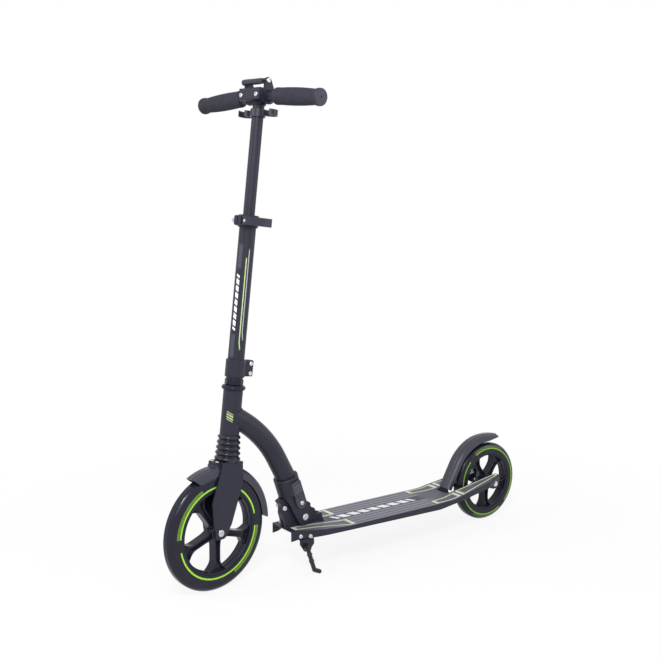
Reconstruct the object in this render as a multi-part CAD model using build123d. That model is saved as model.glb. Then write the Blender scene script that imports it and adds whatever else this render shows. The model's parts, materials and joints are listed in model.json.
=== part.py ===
from build123d import *
import math
import os

# Kick scooter with a folding neck, front suspension and a height-adjustable stem, in millimetres.
# +X is forward, +Y is the rider's left, +Z is up, and the ground is Z = 0.

# Stance
front_radius = 115.0
rear_radius = 90.0
wheelbase = 720.0
front_axle_x = 347.9
axis_offset = 15.3
axis_tilt = 6.7
steer_at_rest = 9.15

# Clearances
running_gap = 0.05
slide_gap = 0.3
free_gap = 0.6

# Wheels
tyre_half_width = 13.25
tyre_shoulder = 14.8
tread_flat = 5.0
front_seat_radius = 83.0
rear_seat_radius = 66.0
rim_wall = 4.0
rim_inset = 1.0
hub_radius = 17.0
hub_half_width = 13.5
spoke_count = 5
spoke_half_width = 10.5
spoke_flare = 24.0
spoke_half_depth = 9.0
spoke_trough = 5.5
spoke_lip = 3.0
bearing_radius = 11.0
bearing_width = 7.0
axle_radius = 4.0
axle_head_radius = 7.0
axle_head_height = 3.0
hub_spacer_radius = 6.5

# Fork and suspension
blade_inner = 15.7
blade_thick = 3.2
blade_end_radius = 13.0
crown_clear = 11.7
crown_thick = 6.6
crown_half_length = 24.6
crown_tab = 36.5
fender_boss = 14.0
fender_boss_width = 24.0
fender_screw_y = 7.0
fender_screw_radius = 2.2
fender_screw_length = 10.0
stanchion_radius = 10.0
stanchion_top_s = 235.0
fender_gap = 8.5
fender_wall = 1.6
fender_half_width = 15.1
fender_skirt = 16.0
fender_ridge = 1.6
fender_corner = 6.0
fender_ends = ((60.2, 67.2), (184.5, 172.7))
bellows_ribs = 5
bellows_top_radius = 21.7
bellows_bottom_radius = 25.5
bellows_wall = 1.6
bellows_groove = 3.4
bellows_neck = 4.0
spring_wire = 3.2
spring_mean_radius = 13.6
spring_turns = 6

# Steering column, lengths along the axis from the front axle's height
head_low_s = 185.0
head_top_s = 270.0
head_radius = 18.7
head_bore = 16.2
steerer_radius = 12.7
steerer_top_s = 325.0
bearing_ring_height = 7.0
cover_radius = 23.2
cover_height = 9.0
locknut_radius = 17.1
locknut_height = 11.2
clamp_low_s = 294.2
clamp_height = 33.6
clamp_radius = 18.9
clamp_ear_reach = 39.0
clamp_ear_thick = 5.3
clamp_slit = 2.4
clamp_bolt_radius = 2.6
lower_stem_radius = 15.9
height_clamp_low_s = 577.4
height_clamp_height = 23.0
height_clamp_radius = 19.2
height_clamp_cap = 3.0
bush_length = 58.0
upper_stem_radius = 11.1
upper_stem_bore = 9.4
upper_stem_low_s = 482.0
bar_s = 823.0
bar_droop = 4.0

# Height clamp's lever
lever_pivot_x = 21.0
lever_pivot_y = 15.9
lever_height = 16.0
lever_thick = 5.6
lever_eye_radius = 6.0
lever_pin_radius = 2.4
lever_barrel_radius = 4.0
lever_tail = (-25.0, 33.5)

# Handlebar
bar_tube_radius = 11.0
bar_tube_bore = 9.0
bar_start = 1.5
bar_end = 163.0
bar_floor = 1.4
grip_start = 47.0
grip_end = 163.0
grip_collar_radius = 13.0
grip_collar = 5.0
grip_radius = 15.2
grip_mid_radius = 16.3
grip_flange_radius = 15.8
grip_flange = 4.0
grip_neck_radius = 14.0
grip_neck = 10.0
end_cap_thick = 3.0
end_cap_plug = 8.0
head_half_width = 29.5
head_barrel_radius = 15.4
head_socket = 17.4
ear_thick = 4.6
lip_reach = 26.0
lip_rise = -1.0
lip_height = 22.0
head_bolt_y = 21.0
head_bolt_rise = -3.0
head_bolt_radius = 2.2
head_bolt_length = 14.0
bar_lever_x = 7.2
bar_lever_s = 848.0
bar_roller_radius = 5.0
thumb_bar_x = 20.0
thumb_bar_s = 844.5
thumb_bar_radius = 5.6
clip_low_s = 783.2
clip_height = 14.0
clip_offset = 34.5
clip_wall = 2.8

# Neck and fold joint
neck_radius = 20.1
neck_wall = 2.2
neck_start_s = 222.0
neck_angle = 34.3
neck_straight = 32.2
neck_bend_radius = 234.0
neck_bend = 28.1
neck_run = 53.5
neck_socket = 10.0
collar_radius = 25.2
collar_length = 36.0
collar_ease = 1.2
collar_floor = 22.2
cheek_outer = 20.0
cheek_root = 24.0
cheek_spread = 24.0
cheek_end = 15.0
pivot_x = 150.1
pivot_z = 108.1
pivot_bolt_radius = 5.0
pivot_head_radius = 7.0
fold_head_height = 2.6
plate_outer = 8.5
plate_thick = 5.0
plate_web = 4.0
plate_slit = 0.4
cross_bolt_dx = 41.3
cross_bolt_dz = 22.9
cross_bolt_radius = 2.5
cross_head_radius = 5.2
cross_nut = 9.5
latch_angle = 18.4
latch_pin_radius = 2.5
latch_head_radius = 4.6
latch_head_height = 2.4
latch_radius = 34.0
latch_drop = 4.5
latch_lift = 2.5
fold_range = 75.0
slider_thick = 4.2
slider_half_width = 11.5
slider_length = 49.0
slider_corner = 4.0
slider_ridges = (15.0, 19.0)
slider_ridge = 2.2

# Deck
deck_top = 83.0
deck_front_top = 90.0
deck_front_x = 193.0
deck_half_width = 60.0
deck_front_half = 35.0
deck_side = 13.0
deck_shoulder_side = 6.8
deck_front_side = 21.0
deck_wall = 2.6
arm_tip_overhang = 15.9
arm_tip_top = 108.0
arm_length = 150.1
arm_lead = 40.0
slot_length = 132.1
slot_half = 18.4
arm_tip_half = 36.0
dropout_radius = 11.5
dropout_thick = 4.4
dropout_outer = 37.0
tape_thick = 0.8
tape_inset = 2.4
tape_weld_gap = 3.0
rib_shares = (0.24, 0.49, 0.745)
rib_depth = 6.0

# Rear brake fender
brake_pivot_setback = 12.0
brake_pivot_z = 77.0
brake_pin_radius = 3.0
brake_gap = 17.0
brake_center_shift = 5.0
brake_wall = 2.0
brake_half_width = 15.6
brake_leg = 58.0
brake_start_angle = 30.0
brake_arc_angle = 60.0
brake_tail_radius = 150.0
brake_tail_angle = 14.0
brake_tail_slant = 26.0
brake_skirt = 12.5
brake_ridge = 2.0
brake_spring_wire = 1.4
brake_spring_turns = 3
brake_lug_reach = 2.4
brake_lug_radius = 6.4
brake_lug_depth = 3.4

# Kickstand
stand_x = 165.0
stand_y = 44.0
stand_plate = 3.0
stand_pivot_z = 56.0
stand_pin_radius = 3.0
stand_front = 13.0
stand_rear = 20.0
stand_drop = 10.0
stand_flange = 13.0
stand_shelf = 20.0
stand_foot_x = 150.0
stand_foot_y = 53.0
stand_toe = (-8.0, 4.7)
stand_knee = 0.93
stand_bumps = (0.3, 0.56)
stand_bump = 1.0
stand_leg_radius = 4.4
stand_screw_spacing = 19.3
stand_screw_radius = 2.5
stand_screw_rise = 8.6
flare_start = 14.0
flare_end = 61.0

tilt = math.radians(axis_tilt)
column = Plane(
    origin=(front_axle_x - axis_offset, 0, front_radius),
    x_dir=(math.cos(tilt), 0, math.sin(tilt)),
    z_dir=(-math.sin(tilt), 0, math.cos(tilt)),
)
steer_axis = Axis(column.origin, column.z_dir)
front_axle = Vector(front_axle_x, 0, front_radius)
rear_axle = Vector(front_axle_x - wheelbase, 0, rear_radius)
pivot = Vector(pivot_x, 0, pivot_z)
base_up = (Align.CENTER, Align.CENTER, Align.MIN)
base_down = (Align.CENTER, Align.CENTER, Align.MAX)
through = 400.0

crown_s = front_radius + crown_clear
fender_inner = front_radius + fender_gap
brake_inner = rear_radius + brake_gap
arm_tip_x = rear_axle.X - arm_tip_overhang
arm_start_x = rear_axle.X + arm_length
slot_front_x = rear_axle.X + slot_length
brake_pivot_x = slot_front_x - brake_pivot_setback
brake_lug_outer = slot_half + brake_lug_depth
plate_inner = plate_outer - plate_thick
cheek_inner = plate_outer + free_gap
slider_inner = cheek_outer + slide_gap
slider_outer = slider_inner + slider_thick


def save(name, *solids):
    shape = solids[0] if len(solids) == 1 else Compound(children=list(solids))
    export_step(shape, os.path.join("parts", name + ".step"))


def save_steered(name, *solids):
    save(name, *[solid.rotate(steer_axis, steer_at_rest) for solid in solids])


def on_column(shape):
    return column.location * shape


def along_y(shape):
    # A shape built round Z turns to lie along Y, with its own Y pointing up
    return Rot(X=90) * shape


def rod(radius, y0, y1):
    return along_y(Pos(0, 0, -y1) * Cylinder(radius, y1 - y0, align=base_up))


def plate(face, y0, y1):
    # A face drawn in X and Z, as X and Y of a sketch, made solid from y0 to y1
    return along_y(Pos(0, 0, -y1) * extrude(face, amount=y1 - y0))


def pair(solid):
    return [solid, mirror(solid, about=Plane.XZ)]


def tube(outer, inner, low, high):
    ring = Circle(outer) - Circle(inner)
    return Pos(0, 0, low) * extrude(ring, amount=high - low)


def ring_profile(points):
    return make_face(Polyline(*points, close=True))


def spin(points):
    # Points are (radius, height) of a body of revolution about Z
    return revolve(Plane.XZ * ring_profile(points), axis=Axis.Z)


def bolt(radius, head_radius, head_height, y0, y1):
    # A domed head on the +Y end, a plain shank to y0
    dome = fillet(
        Cylinder(head_radius, head_height, align=base_up).edges().group_by(Axis.Z)[-1],
        head_height * 0.6,
    )
    hexagon = RegularPolygon(head_radius * 0.5, 6)
    socket = Pos(0, 0, head_height * 0.45) * extrude(hexagon, amount=head_height)
    head = Rot(X=-90) * (dome - socket)
    return rod(radius, y0, y1) + Pos(0, y1, 0) * head


def tyre(radius, seat):
    shoulder = radius - tyre_shoulder
    width = tyre_half_width - tread_flat
    mid = math.sqrt(0.5)
    crown = (shoulder + tyre_shoulder * mid, tread_flat + width * mid)
    outline = [
        Line((seat, -tyre_half_width), (seat, tyre_half_width)),
        Line((seat, tyre_half_width), (shoulder, tyre_half_width)),
        ThreePointArc((shoulder, tyre_half_width), crown, (radius, tread_flat)),
        Line((radius, tread_flat), (radius, -tread_flat)),
        ThreePointArc((radius, -tread_flat), (crown[0], -crown[1]), (shoulder, -tyre_half_width)),
        Line((shoulder, -tyre_half_width), (seat, -tyre_half_width)),
    ]
    face = make_face(Curve() + outline)
    return along_y(revolve(Plane.XZ * face, axis=Axis.Z))


def spoke(opening, inset, depth):
    # One spoke pointing along -Y of its sketch, flared where it meets the rim
    root = hub_radius * 0.55
    half = spoke_half_width - inset
    flare = spoke_flare - inset * 1.6
    end = opening + rim_wall * 0.5 - inset * 1.2
    neck_r = opening - 24.0
    start = root + inset * 3.0
    outline = FilletPolyline(
        (-half, -start),
        (half, -start),
        (half, -neck_r),
        (flare, -end),
        (-flare, -end),
        (-half, -neck_r),
        radius=[1.0, 1.0, 16.0, 0.5, 0.5, 16.0],
        close=True,
    )
    return extrude(make_face(outline), amount=depth, both=True)


def rim(seat):
    opening = seat - rim_wall
    half = tyre_half_width - rim_inset
    body = tube(seat, opening, -half, half)
    lip = tube(opening + 0.4, opening - 2.4, -2.0, 2.0)
    body += lip
    web = spoke_half_depth - spoke_trough
    for k in range(spoke_count):
        body += Rot(Z=360.0 / spoke_count * k) * spoke(opening, 0, spoke_half_depth)
    body += Cylinder(hub_radius, 2 * hub_half_width)
    for k in range(spoke_count):
        trough = spoke(opening, spoke_lip, spoke_trough)
        turn = Rot(Z=360.0 / spoke_count * k)
        outside = web + spoke_trough
        body -= turn * Pos(0, 0, outside) * trough
        body -= turn * Pos(0, 0, -outside) * trough
    body += Cylinder(hub_radius, 2 * hub_half_width)
    body &= Cylinder(seat, 2 * hub_half_width)
    body -= Cylinder(hub_spacer_radius + free_gap, 2 * hub_half_width)
    for side in (-1, 1):
        seat_z = side * (hub_half_width - bearing_width / 2)
        body -= Pos(0, 0, seat_z) * Cylinder(bearing_radius, bearing_width)
    return along_y(body)


def bearings():
    return [
        along_y(tube(bearing_radius, axle_radius + running_gap, z, z + bearing_width))
        for z in (hub_half_width - bearing_width, -hub_half_width)
    ]


def hub_spacer():
    half = hub_half_width - bearing_width
    return along_y(tube(hub_spacer_radius, axle_radius + running_gap, -half, half))


def wheel(name, radius, seat, axle, keep):
    place = Pos(*axle)
    keep(name + "_tyre", place * tyre(radius, seat))
    keep(name + "_rim", place * rim(seat))
    keep(name + "_bearings", *[place * ring for ring in bearings()])
    keep(name + "_hub_spacer", place * hub_spacer())


def axle_set(name, outer, axle, keep):
    # Bolt with its head on the left, nut on the right, and a spacer each side of the hub
    place = Pos(*axle)
    keep(name + "_axle_bolt", place * bolt(axle_radius, axle_head_radius, axle_head_height, -outer, outer))
    nut = extrude(RegularPolygon(axle_head_radius, 6), amount=axle_head_height * 1.6)
    nut -= Cylinder(axle_radius, 20)
    keep(name + "_axle_nut", place * Pos(0, -outer, 0) * along_y(nut))


def blade_face():
    ax, az = front_axle_x, front_radius
    top = Vector(column.from_local_coords((0, 0, crown_s)))
    rise = math.tan(tilt)
    front_top = (top.X + crown_half_length, top.Z + crown_half_length * rise)
    rear_top = (top.X - crown_half_length, top.Z - crown_half_length * rise)
    outline = FilletPolyline(
        front_top,
        (ax + 19.0, az + 60.0),
        (ax + 16.5, az + 30.0),
        (ax + 10.0, az - blade_end_radius),
        (ax - 11.0, az - blade_end_radius),
        (ax - 27.0, az + 12.0),
        (ax - 55.0, az + 88.0),
        rear_top,
        radius=[0.5, 14.0, 20.0, 9.0, 9.0, 20.0, 14.0, 0.5],
        close=True,
    )
    return make_face(outline)


def fork():
    crown = Box(crown_half_length * 2, 2 * (blade_inner + blade_thick), crown_thick, align=base_up)
    tab_length = crown_tab - crown_half_length + 4.0
    tab = Box(tab_length, fender_boss_width, crown_thick, align=base_up)
    tab = Pos(crown_tab - tab_length / 2, 0, 0) * tab
    body = on_column(Pos(0, 0, crown_s) * (crown + fillet(tab.edges().filter_by(Axis.Z), 3.0)))
    stanchion = Cylinder(stanchion_radius, stanchion_top_s - crown_s, align=base_up)
    body += on_column(Pos(0, 0, crown_s) * stanchion)
    for blade in pair(plate(blade_face(), blade_inner, blade_inner + blade_thick)):
        body += blade
    body -= Pos(*front_axle) * rod(axle_radius + running_gap, -40, 40)
    for hole in fender_screw_holes():
        body -= hole
    return body


def fender_screw_holes():
    x = crown_tab - fender_boss / 2
    hole = Cylinder(fender_screw_radius, 2 * (crown_thick + fender_screw_length))
    return [on_column(Pos(x, y, crown_s) * hole) for y in (-fender_screw_y, fender_screw_y)]


def arch(inner, wall, half, skirt, ridge):
    # Mudguard section in radius and width: skirts, rounded shoulders and a raised middle band
    outer = inner + wall
    band = half * 0.36
    top = [
        (outer - skirt, half),
        (outer - 3.0, half),
        (outer + 0.6, half - 3.4),
        (outer + 1.2, band + 1.6),
        (outer + 1.2 + ridge, band),
    ]
    under = [(r - wall, y if y < half else half - wall) for r, y in top]
    under[0] = (outer - skirt, half - wall)
    under[1] = (outer - 3.6, half - wall)
    left = top + [(r, -y) for r, y in reversed(top)]
    right = under + [(r, -y) for r, y in reversed(under)]
    return make_face(Polyline(*(left + list(reversed(right))), close=True))


def front_fender():
    # The angle runs from straight ahead, over the top, to straight behind
    section = arch(fender_inner, fender_wall, fender_half_width, fender_skirt + fender_corner, fender_ridge)
    (front_tip, front_corner), (rear_tip, rear_corner) = fender_ends
    shell = revolve(Plane.XZ * section, axis=Axis.Z, revolution_arc=rear_tip - front_tip)
    shell = along_y(Rot(Z=front_tip) * shell)
    shell &= plate(fender_side(), -2 * fender_half_width, 2 * fender_half_width)
    block = Box(fender_boss, fender_boss_width, fender_boss, align=base_down)
    boss = on_column(Pos(crown_tab - fender_boss / 2, 0, crown_s) * block)
    under = rod(fender_inner + fender_wall + slide_gap, -fender_boss_width, fender_boss_width)
    boss -= Pos(*front_axle) * under
    body = Pos(*front_axle) * shell + boss
    for hole in fender_screw_holes():
        body -= hole
    return body


def fender_side():
    # Side view of the front mudguard round the axle: slanted ends with rounded lower corners
    high = fender_inner + fender_wall + fender_skirt
    low = fender_inner + fender_wall - fender_skirt

    def spot(radius, angle):
        return Vector(radius * math.cos(math.radians(angle)), radius * math.sin(math.radians(angle)))

    (front_tip, front_corner), (rear_tip, rear_corner) = fender_ends
    middle = (front_corner + rear_corner) / 2
    outline = [
        Line(spot(high, front_tip), spot(low, front_corner)),
        ThreePointArc(spot(low, front_corner), spot(low, middle), spot(low, rear_corner)),
        Line(spot(low, rear_corner), spot(high, rear_tip)),
        ThreePointArc(spot(high, rear_tip), spot(high, middle), spot(high, front_tip)),
    ]
    face = make_face(Curve() + outline)
    corners = [v for v in face.vertices() if Vector(v.X, v.Y).length < low + 1.0]
    return fillet(corners, fender_corner)


def bellows():
    # Folded rubber boot: each fold is a rib with a groove above it, widening downwards
    low = crown_s + crown_thick
    high = head_low_s - bellows_neck
    pitch = (high - low) / bellows_ribs
    outside = []
    inside = []
    for k in range(bellows_ribs):
        share = k / (bellows_ribs - 1)
        rib = bellows_bottom_radius + (bellows_top_radius - bellows_bottom_radius) * share
        z = low + pitch * k
        for r, dz in ((rib - bellows_groove, 0.0), (rib, 0.32), (rib, 0.68), (rib - bellows_groove, 1.0)):
            if outside and dz == 0.0:
                continue
            outside.append((r, z + pitch * dz))
            inside.append((r - bellows_wall, z + pitch * dz))
    top = head_low_s - free_gap
    outside.append((outside[-1][0], top))
    inside.append((inside[-1][0], top))
    return spin(outside + list(reversed(inside)))


def suspension_spring():
    low = crown_s + crown_thick + spring_wire / 2 + 0.2
    high = head_low_s - 2.0 - spring_wire / 2 - 0.2
    path = Helix(pitch=(high - low) / spring_turns, height=high - low, radius=spring_mean_radius)
    start = Plane(origin=path @ 0, z_dir=path % 0)
    coil = sweep(start * Circle(spring_wire / 2), path=path)
    return Pos(0, 0, low) * coil


def ring_band(outer, inner, low, high, ease):
    # Ring about Z with eased outer corners
    return spin(
        [
            (inner, low),
            (outer - ease, low),
            (outer, low + ease),
            (outer, high - ease),
            (outer - ease, high),
            (inner, high),
        ]
    )


def stem_clamp():
    body = ring_band(clamp_radius, lower_stem_radius, 0, clamp_height, 0.8)
    ear_width = clamp_slit + 2 * clamp_ear_thick
    reach = clamp_ear_reach - lower_stem_radius
    ear = Box(reach, ear_width, clamp_height - 2.4)
    ear = Pos(-lower_stem_radius - reach / 2, 0, clamp_height / 2) * ear
    ear = fillet(ear.edges().filter_by(Axis.Y).group_by(Axis.X)[0], 2.5)
    body += ear - Cylinder(lower_stem_radius, 200)
    slit_x = -lower_stem_radius / 2 - clamp_ear_reach / 2
    body -= Pos(slit_x, 0, clamp_height / 2) * Box(clamp_ear_reach, clamp_slit, 2 * clamp_height)
    for z in clamp_bolt_heights():
        body -= Pos(clamp_bolt_x(), 0, z) * rod(clamp_bolt_radius, -20, 20)
    return body


def clamp_bolt_x():
    return -(clamp_ear_reach + clamp_radius) / 2 - 3.0


def clamp_bolt_heights():
    return (clamp_height * 0.21, clamp_height * 0.77)


def height_clamp():
    body = ring_band(height_clamp_radius, upper_stem_radius + slide_gap, 0, height_clamp_height, 0.8)
    body -= Cylinder(lower_stem_radius, 2 * (height_clamp_height - height_clamp_cap))
    lug_x = (lever_pivot_x + 6.0 + lower_stem_radius) / 2
    lug_length = lever_pivot_x + 6.0 - lower_stem_radius
    lug_half = height_lug_half()
    lugs = Pos(lug_x, 0, height_clamp_height / 2) * Box(lug_length, 2 * lug_half, height_clamp_height - 4.0)
    lugs = fillet(lugs.edges().filter_by(Axis.Y).group_by(Axis.X)[-1], 4.0)
    body += lugs - Cylinder(lower_stem_radius, 200)
    body -= Pos(lever_pivot_x, 0, height_clamp_height / 2) * Box(20.0, clamp_slit, 60)
    body -= Pos(lever_pivot_x, 0, height_clamp_height / 2) * rod(lever_pin_radius, -40, 40)
    return body


def height_lever():
    # Curved arm that hugs the clamp's left side; its eye turns on an upright pin
    eye = Pos(lever_pivot_x, lever_pivot_y, 0) * Cylinder(lever_eye_radius, lever_height)
    bulge = height_clamp_radius + 5.2
    path = ThreePointArc((lever_pivot_x, lever_pivot_y + 2.6), (4.5, bulge + 3.0), lever_tail)
    start = Plane(origin=path @ 0, x_dir=(0, 0, 1), z_dir=path % 0)
    arm = sweep(start * Rectangle(lever_height, lever_thick), path=path)
    tip = Pos(*lever_tail) * Cylinder(lever_thick * 0.62, lever_height)
    body = eye + arm + tip
    body -= Pos(lever_pivot_x, lever_pivot_y, 0) * Cylinder(lever_pin_radius + running_gap, 40)
    window = 2 * lever_pin_radius + 1.6
    body -= Pos(lever_pivot_x + 3.0, lever_pivot_y - 2.4, 0) * Box(12.6, 14.0, window)
    body -= Pos(lever_pivot_x, lever_pivot_y, 0) * Cylinder(lever_barrel_radius + free_gap, window)
    return body


def height_bolt():
    # Draw bolt through the clamp's lugs: a nut on the right, a cross barrel on the lever's pin
    body = rod(lever_pin_radius, -lever_pivot_y - 3.0, lever_pivot_y)
    nut = extrude(RegularPolygon(lever_barrel_radius, 6), amount=lever_pivot_y + 3.0 - height_lug_half())
    body += Pos(0, -height_lug_half(), 0) * along_y(nut)
    body += Pos(0, lever_pivot_y, 0) * Cylinder(lever_barrel_radius, 2 * lever_pin_radius + 0.4)
    body -= Pos(0, lever_pivot_y, 0) * Cylinder(lever_pin_radius, 40)
    return Pos(lever_pivot_x, 0, 0) * body


def height_lug_half():
    return lever_pivot_y - lever_eye_radius - 0.4


def bar_head():
    # T-shaped clamp: barrels for the two handles, a socket for the stem, a bolted front lip and two ears
    body = Pos(0, 0, -head_socket) * Cylinder(upper_stem_radius + 2.6, head_socket, align=base_up)
    half = Pos(0, 0, -bar_start) * Cylinder(head_barrel_radius, head_half_width, align=base_up)
    for barrel in pair(drooped(half)):
        body += barrel
    lip = Pos(lip_reach / 2, 0, lip_rise) * Box(lip_reach, 2 * head_half_width - 2.0, lip_height)
    lip = fillet(lip.edges().filter_by(Axis.Y), 2.0)
    body += lip
    up = bar_lever_s - bar_s
    ear = make_face(
        FilletPolyline(
            (-head_barrel_radius, 0.0),
            (lip_reach / 2, lip_rise),
            (bar_lever_x + 6.5, up + 1.0),
            (bar_lever_x + 1.0, up + 7.0),
            (bar_lever_x - 7.5, up + 3.0),
            radius=[2.0, 2.0, 5.0, 4.0, 5.0],
            close=True,
        )
    )
    for side in pair(plate(ear, head_half_width - ear_thick, head_half_width)):
        body += side
    bore = Pos(0, 0, -bar_start) * Cylinder(bar_tube_radius + running_gap * 2, bar_end, align=base_up)
    for hole in pair(drooped(bore)):
        body -= hole
    depth = head_socket - (bar_s - upper_stem_top())
    body -= Pos(0, 0, -head_socket) * Cylinder(upper_stem_radius, depth, align=base_up)
    body -= Pos(bar_lever_x, 0, up) * rod(lever_pin_radius + running_gap, -through, through)
    hole = Rot(Y=90) * Cylinder(head_bolt_radius, 2 * head_bolt_length)
    for y in (-head_bolt_y, head_bolt_y):
        body -= Pos(lip_reach, y, head_bolt_rise) * hole
    return body


def drooped(shape):
    # A shape built along Z turns to lie along the left handle, which falls away from the stem
    return Rot(X=-90 - bar_droop) * shape


def upper_stem_top():
    # Just under the handles' bores
    return bar_s - bar_tube_radius - bar_floor - upper_stem_radius * math.tan(math.radians(bar_droop))


def bar_lever():
    # Cam roller on the pivot, a thumb bar in front of it and a web between them
    inner = head_half_width - ear_thick - free_gap
    up = bar_lever_s - bar_s
    body = Pos(bar_lever_x, 0, up) * rod(bar_roller_radius, -inner, inner)
    body += Pos(thumb_bar_x, 0, thumb_bar_s - bar_s) * rod(thumb_bar_radius, -inner, inner)
    span = thumb_bar_x - bar_lever_x
    drop = (bar_lever_s - thumb_bar_s) / 2
    body += Pos(bar_lever_x + span / 2, 0, up - drop) * Box(span, 2 * inner, bar_roller_radius)
    body -= Pos(bar_lever_x, 0, up) * rod(lever_pin_radius + running_gap, -through, through)
    return body


def handle_clip():
    # Sleeve on the stem with a C-shaped clip on each side that stores a pulled-out handle
    body = Cylinder(upper_stem_radius + 3.4, clip_height, align=base_up)
    inner = bar_tube_radius + 0.3
    holder = Cylinder(inner + clip_wall, clip_height - 3.0, align=base_up)
    for side in (-1, 1):
        ring = Pos(0, side * clip_offset, 1.5) * holder
        arm_length = clip_offset - inner
        arm = Pos(0, side * arm_length / 2, clip_height / 2) * Box(7.0, arm_length, clip_height - 4.0)
        body += ring + arm
    for side in (-1, 1):
        body -= Pos(0, side * clip_offset, 0) * Cylinder(inner, 60)
        body -= Pos(inner, side * clip_offset, 0) * Box(2 * inner, 1.5 * inner, 60)
    body -= Cylinder(upper_stem_radius, 60)
    return body


def grip():
    # Barrelled foam grip built along Z from its inner end: collar, flange, barrel, neck and end flange
    length = grip_end - grip_start
    start = grip_collar + grip_flange
    neck = length - grip_neck
    end = length - grip_flange
    outline = [
        Polyline(
            (bar_tube_radius, 0),
            (grip_collar_radius, 0),
            (grip_collar_radius, grip_collar),
            (grip_flange_radius, grip_collar),
            (grip_flange_radius, start),
            (grip_radius, start),
        ),
        ThreePointArc((grip_radius, start), (grip_mid_radius, length / 2), (grip_neck_radius, neck)),
        Polyline(
            (grip_neck_radius, neck),
            (grip_flange_radius, end),
            (grip_flange_radius, length),
            (bar_tube_radius, length),
            (bar_tube_radius, 0),
        ),
    ]
    return revolve(Plane.XZ * make_face(Curve() + outline), axis=Axis.Z)


def end_cap():
    body = Cylinder(grip_flange_radius, end_cap_thick, align=base_up)
    body = fillet(body.edges().group_by(Axis.Z)[-1], end_cap_thick * 0.6)
    body += Pos(0, 0, -end_cap_plug) * Cylinder(bar_tube_bore, end_cap_plug, align=base_up)
    return body - Pos(0, 0, end_cap_thick) * Sphere(2.0)


def neck_path():
    start = Vector(column.from_local_coords((0, 0, neck_start_s)))
    angle = math.radians(neck_angle)
    go = Vector(-math.cos(angle), 0, -math.sin(angle))
    bend_start = start + go * neck_straight
    arc = JernArc((bend_start.X, bend_start.Z), (go.X, go.Z), neck_bend_radius, neck_bend)
    end = arc @ 1
    heading = arc % 1
    return start, bend_start, arc, Vector(end.X, 0, end.Y), Vector(heading.X, 0, heading.Y)


def neck_sweep(radius):
    start, bend_start, arc, end, heading = neck_path()
    path = Curve() + [
        Line((start.X, start.Z), (bend_start.X, bend_start.Z)),
        arc,
        Line((end.X, end.Z), ((end + heading * neck_run).X, (end + heading * neck_run).Z)),
    ]
    first = Plane(origin=path @ 0, z_dir=path % 0)
    return along_y(sweep(first * Circle(radius), path=path))


def neck_frame():
    head = on_column(tube(head_radius, head_bore, head_low_s, head_top_s))
    goose = neck_sweep(neck_radius) - neck_sweep(neck_radius - neck_wall)
    goose -= on_column(Pos(0, 0, head_low_s) * Cylinder(head_radius, head_top_s - head_low_s, align=base_up))
    start, bend_start, arc, end, heading = neck_path()
    front = [s for s in goose.solids() if s.center().X < start.X]
    return head + front[0]


def collar_plane():
    # Top rim of the knuckle's collar, looking down its length; its Y points ahead
    start, bend_start, arc, end, heading = neck_path()
    rim_center = end + heading * (neck_run - neck_socket)
    return Plane(origin=rim_center, x_dir=(0, 1, 0), z_dir=-latch_direction(latch_angle))


def knuckle():
    # Collar on the end of the neck, parting below into two cheeks that straddle the hinge plates
    start, bend_start, arc, end, heading = neck_path()
    rim_plane = collar_plane()
    at = rim_plane.location
    collar = Cylinder(collar_radius, collar_length, align=base_up)
    body = at * chamfer(collar.edges().group_by(Axis.Z)[0], collar_ease)
    eye = rim_plane.to_local_coords(pivot)
    low = eye.Z + cheek_end
    root = collar_length - collar_ease
    outline = FilletPolyline(
        (cheek_root, root),
        (cheek_root - 5.0, collar_length + 13.4),
        (eye.Y + 1.35 * cheek_end, eye.Z - cheek_end),
        (eye.Y + cheek_end, low),
        (eye.Y - cheek_end, low),
        (eye.Y - cheek_end, eye.Z - cheek_end),
        (eye.Y - slider_half_width, root),
        radius=[0.5, 20.0, 20.0, 12.0, 12.0, 12.0, 0.5],
        close=True,
    )
    side_view = Plane(origin=rim_plane.origin, x_dir=rim_plane.y_dir, z_dir=(0, 1, 0))
    lug = side_view.location * extrude(make_face(outline), amount=cheek_outer, both=True)
    spread = Cone(cheek_root, cheek_root + cheek_spread, low - root, align=base_up)
    body += lug & (at * Pos(0, 0, root) * spread)
    body -= at * Pos(0, 0, collar_length) * Box(2 * cheek_inner, through, through, align=base_up)
    socket = Plane(origin=end, z_dir=heading)
    body -= socket.location * Cylinder(neck_radius, neck_run, align=base_up)
    body -= Pos(*pivot) * rod(pivot_bolt_radius + running_gap, -through, through)
    lowest = latch_radius - latch_drop - slide_gap
    body -= latch_slot(lowest, latch_radius + latch_lift + slide_gap, slide_gap)
    for groove in slider_grooves():
        body -= groove
    return body


def slider_grooves():
    # Flat-bottomed channels in the collar's flanks that the latch slider runs in
    rim_plane = collar_plane()
    eye = rim_plane.to_local_coords(pivot)
    high = eye.Z - latch_radius - latch_lift - slider_length - free_gap
    width = 2 * (slider_half_width + free_gap)
    groove = Pos(cheek_outer, eye.Y, high) * Box(
        collar_radius, width, collar_length, align=(Align.MIN, Align.CENTER, Align.MIN)
    )
    groove -= Cylinder(collar_floor, through)
    return pair(rim_plane.location * groove)


def latch_direction(angle):
    # Unit vector from the fold pivot, the angle leaning forward from upright
    return Vector(math.sin(math.radians(angle)), 0, math.cos(math.radians(angle)))


def latch_slot(inner, outer, gap, angle=latch_angle):
    # Slot for the latch pin across the whole joint, between two radii from the fold pivot
    slot = SlotCenterToCenter(outer - inner, 2 * (latch_pin_radius + gap), rotation=90)
    body = plate(Pos(0, (inner + outer) / 2) * slot, -through, through)
    return Pos(*pivot) * Rot(Y=angle) * body


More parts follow.
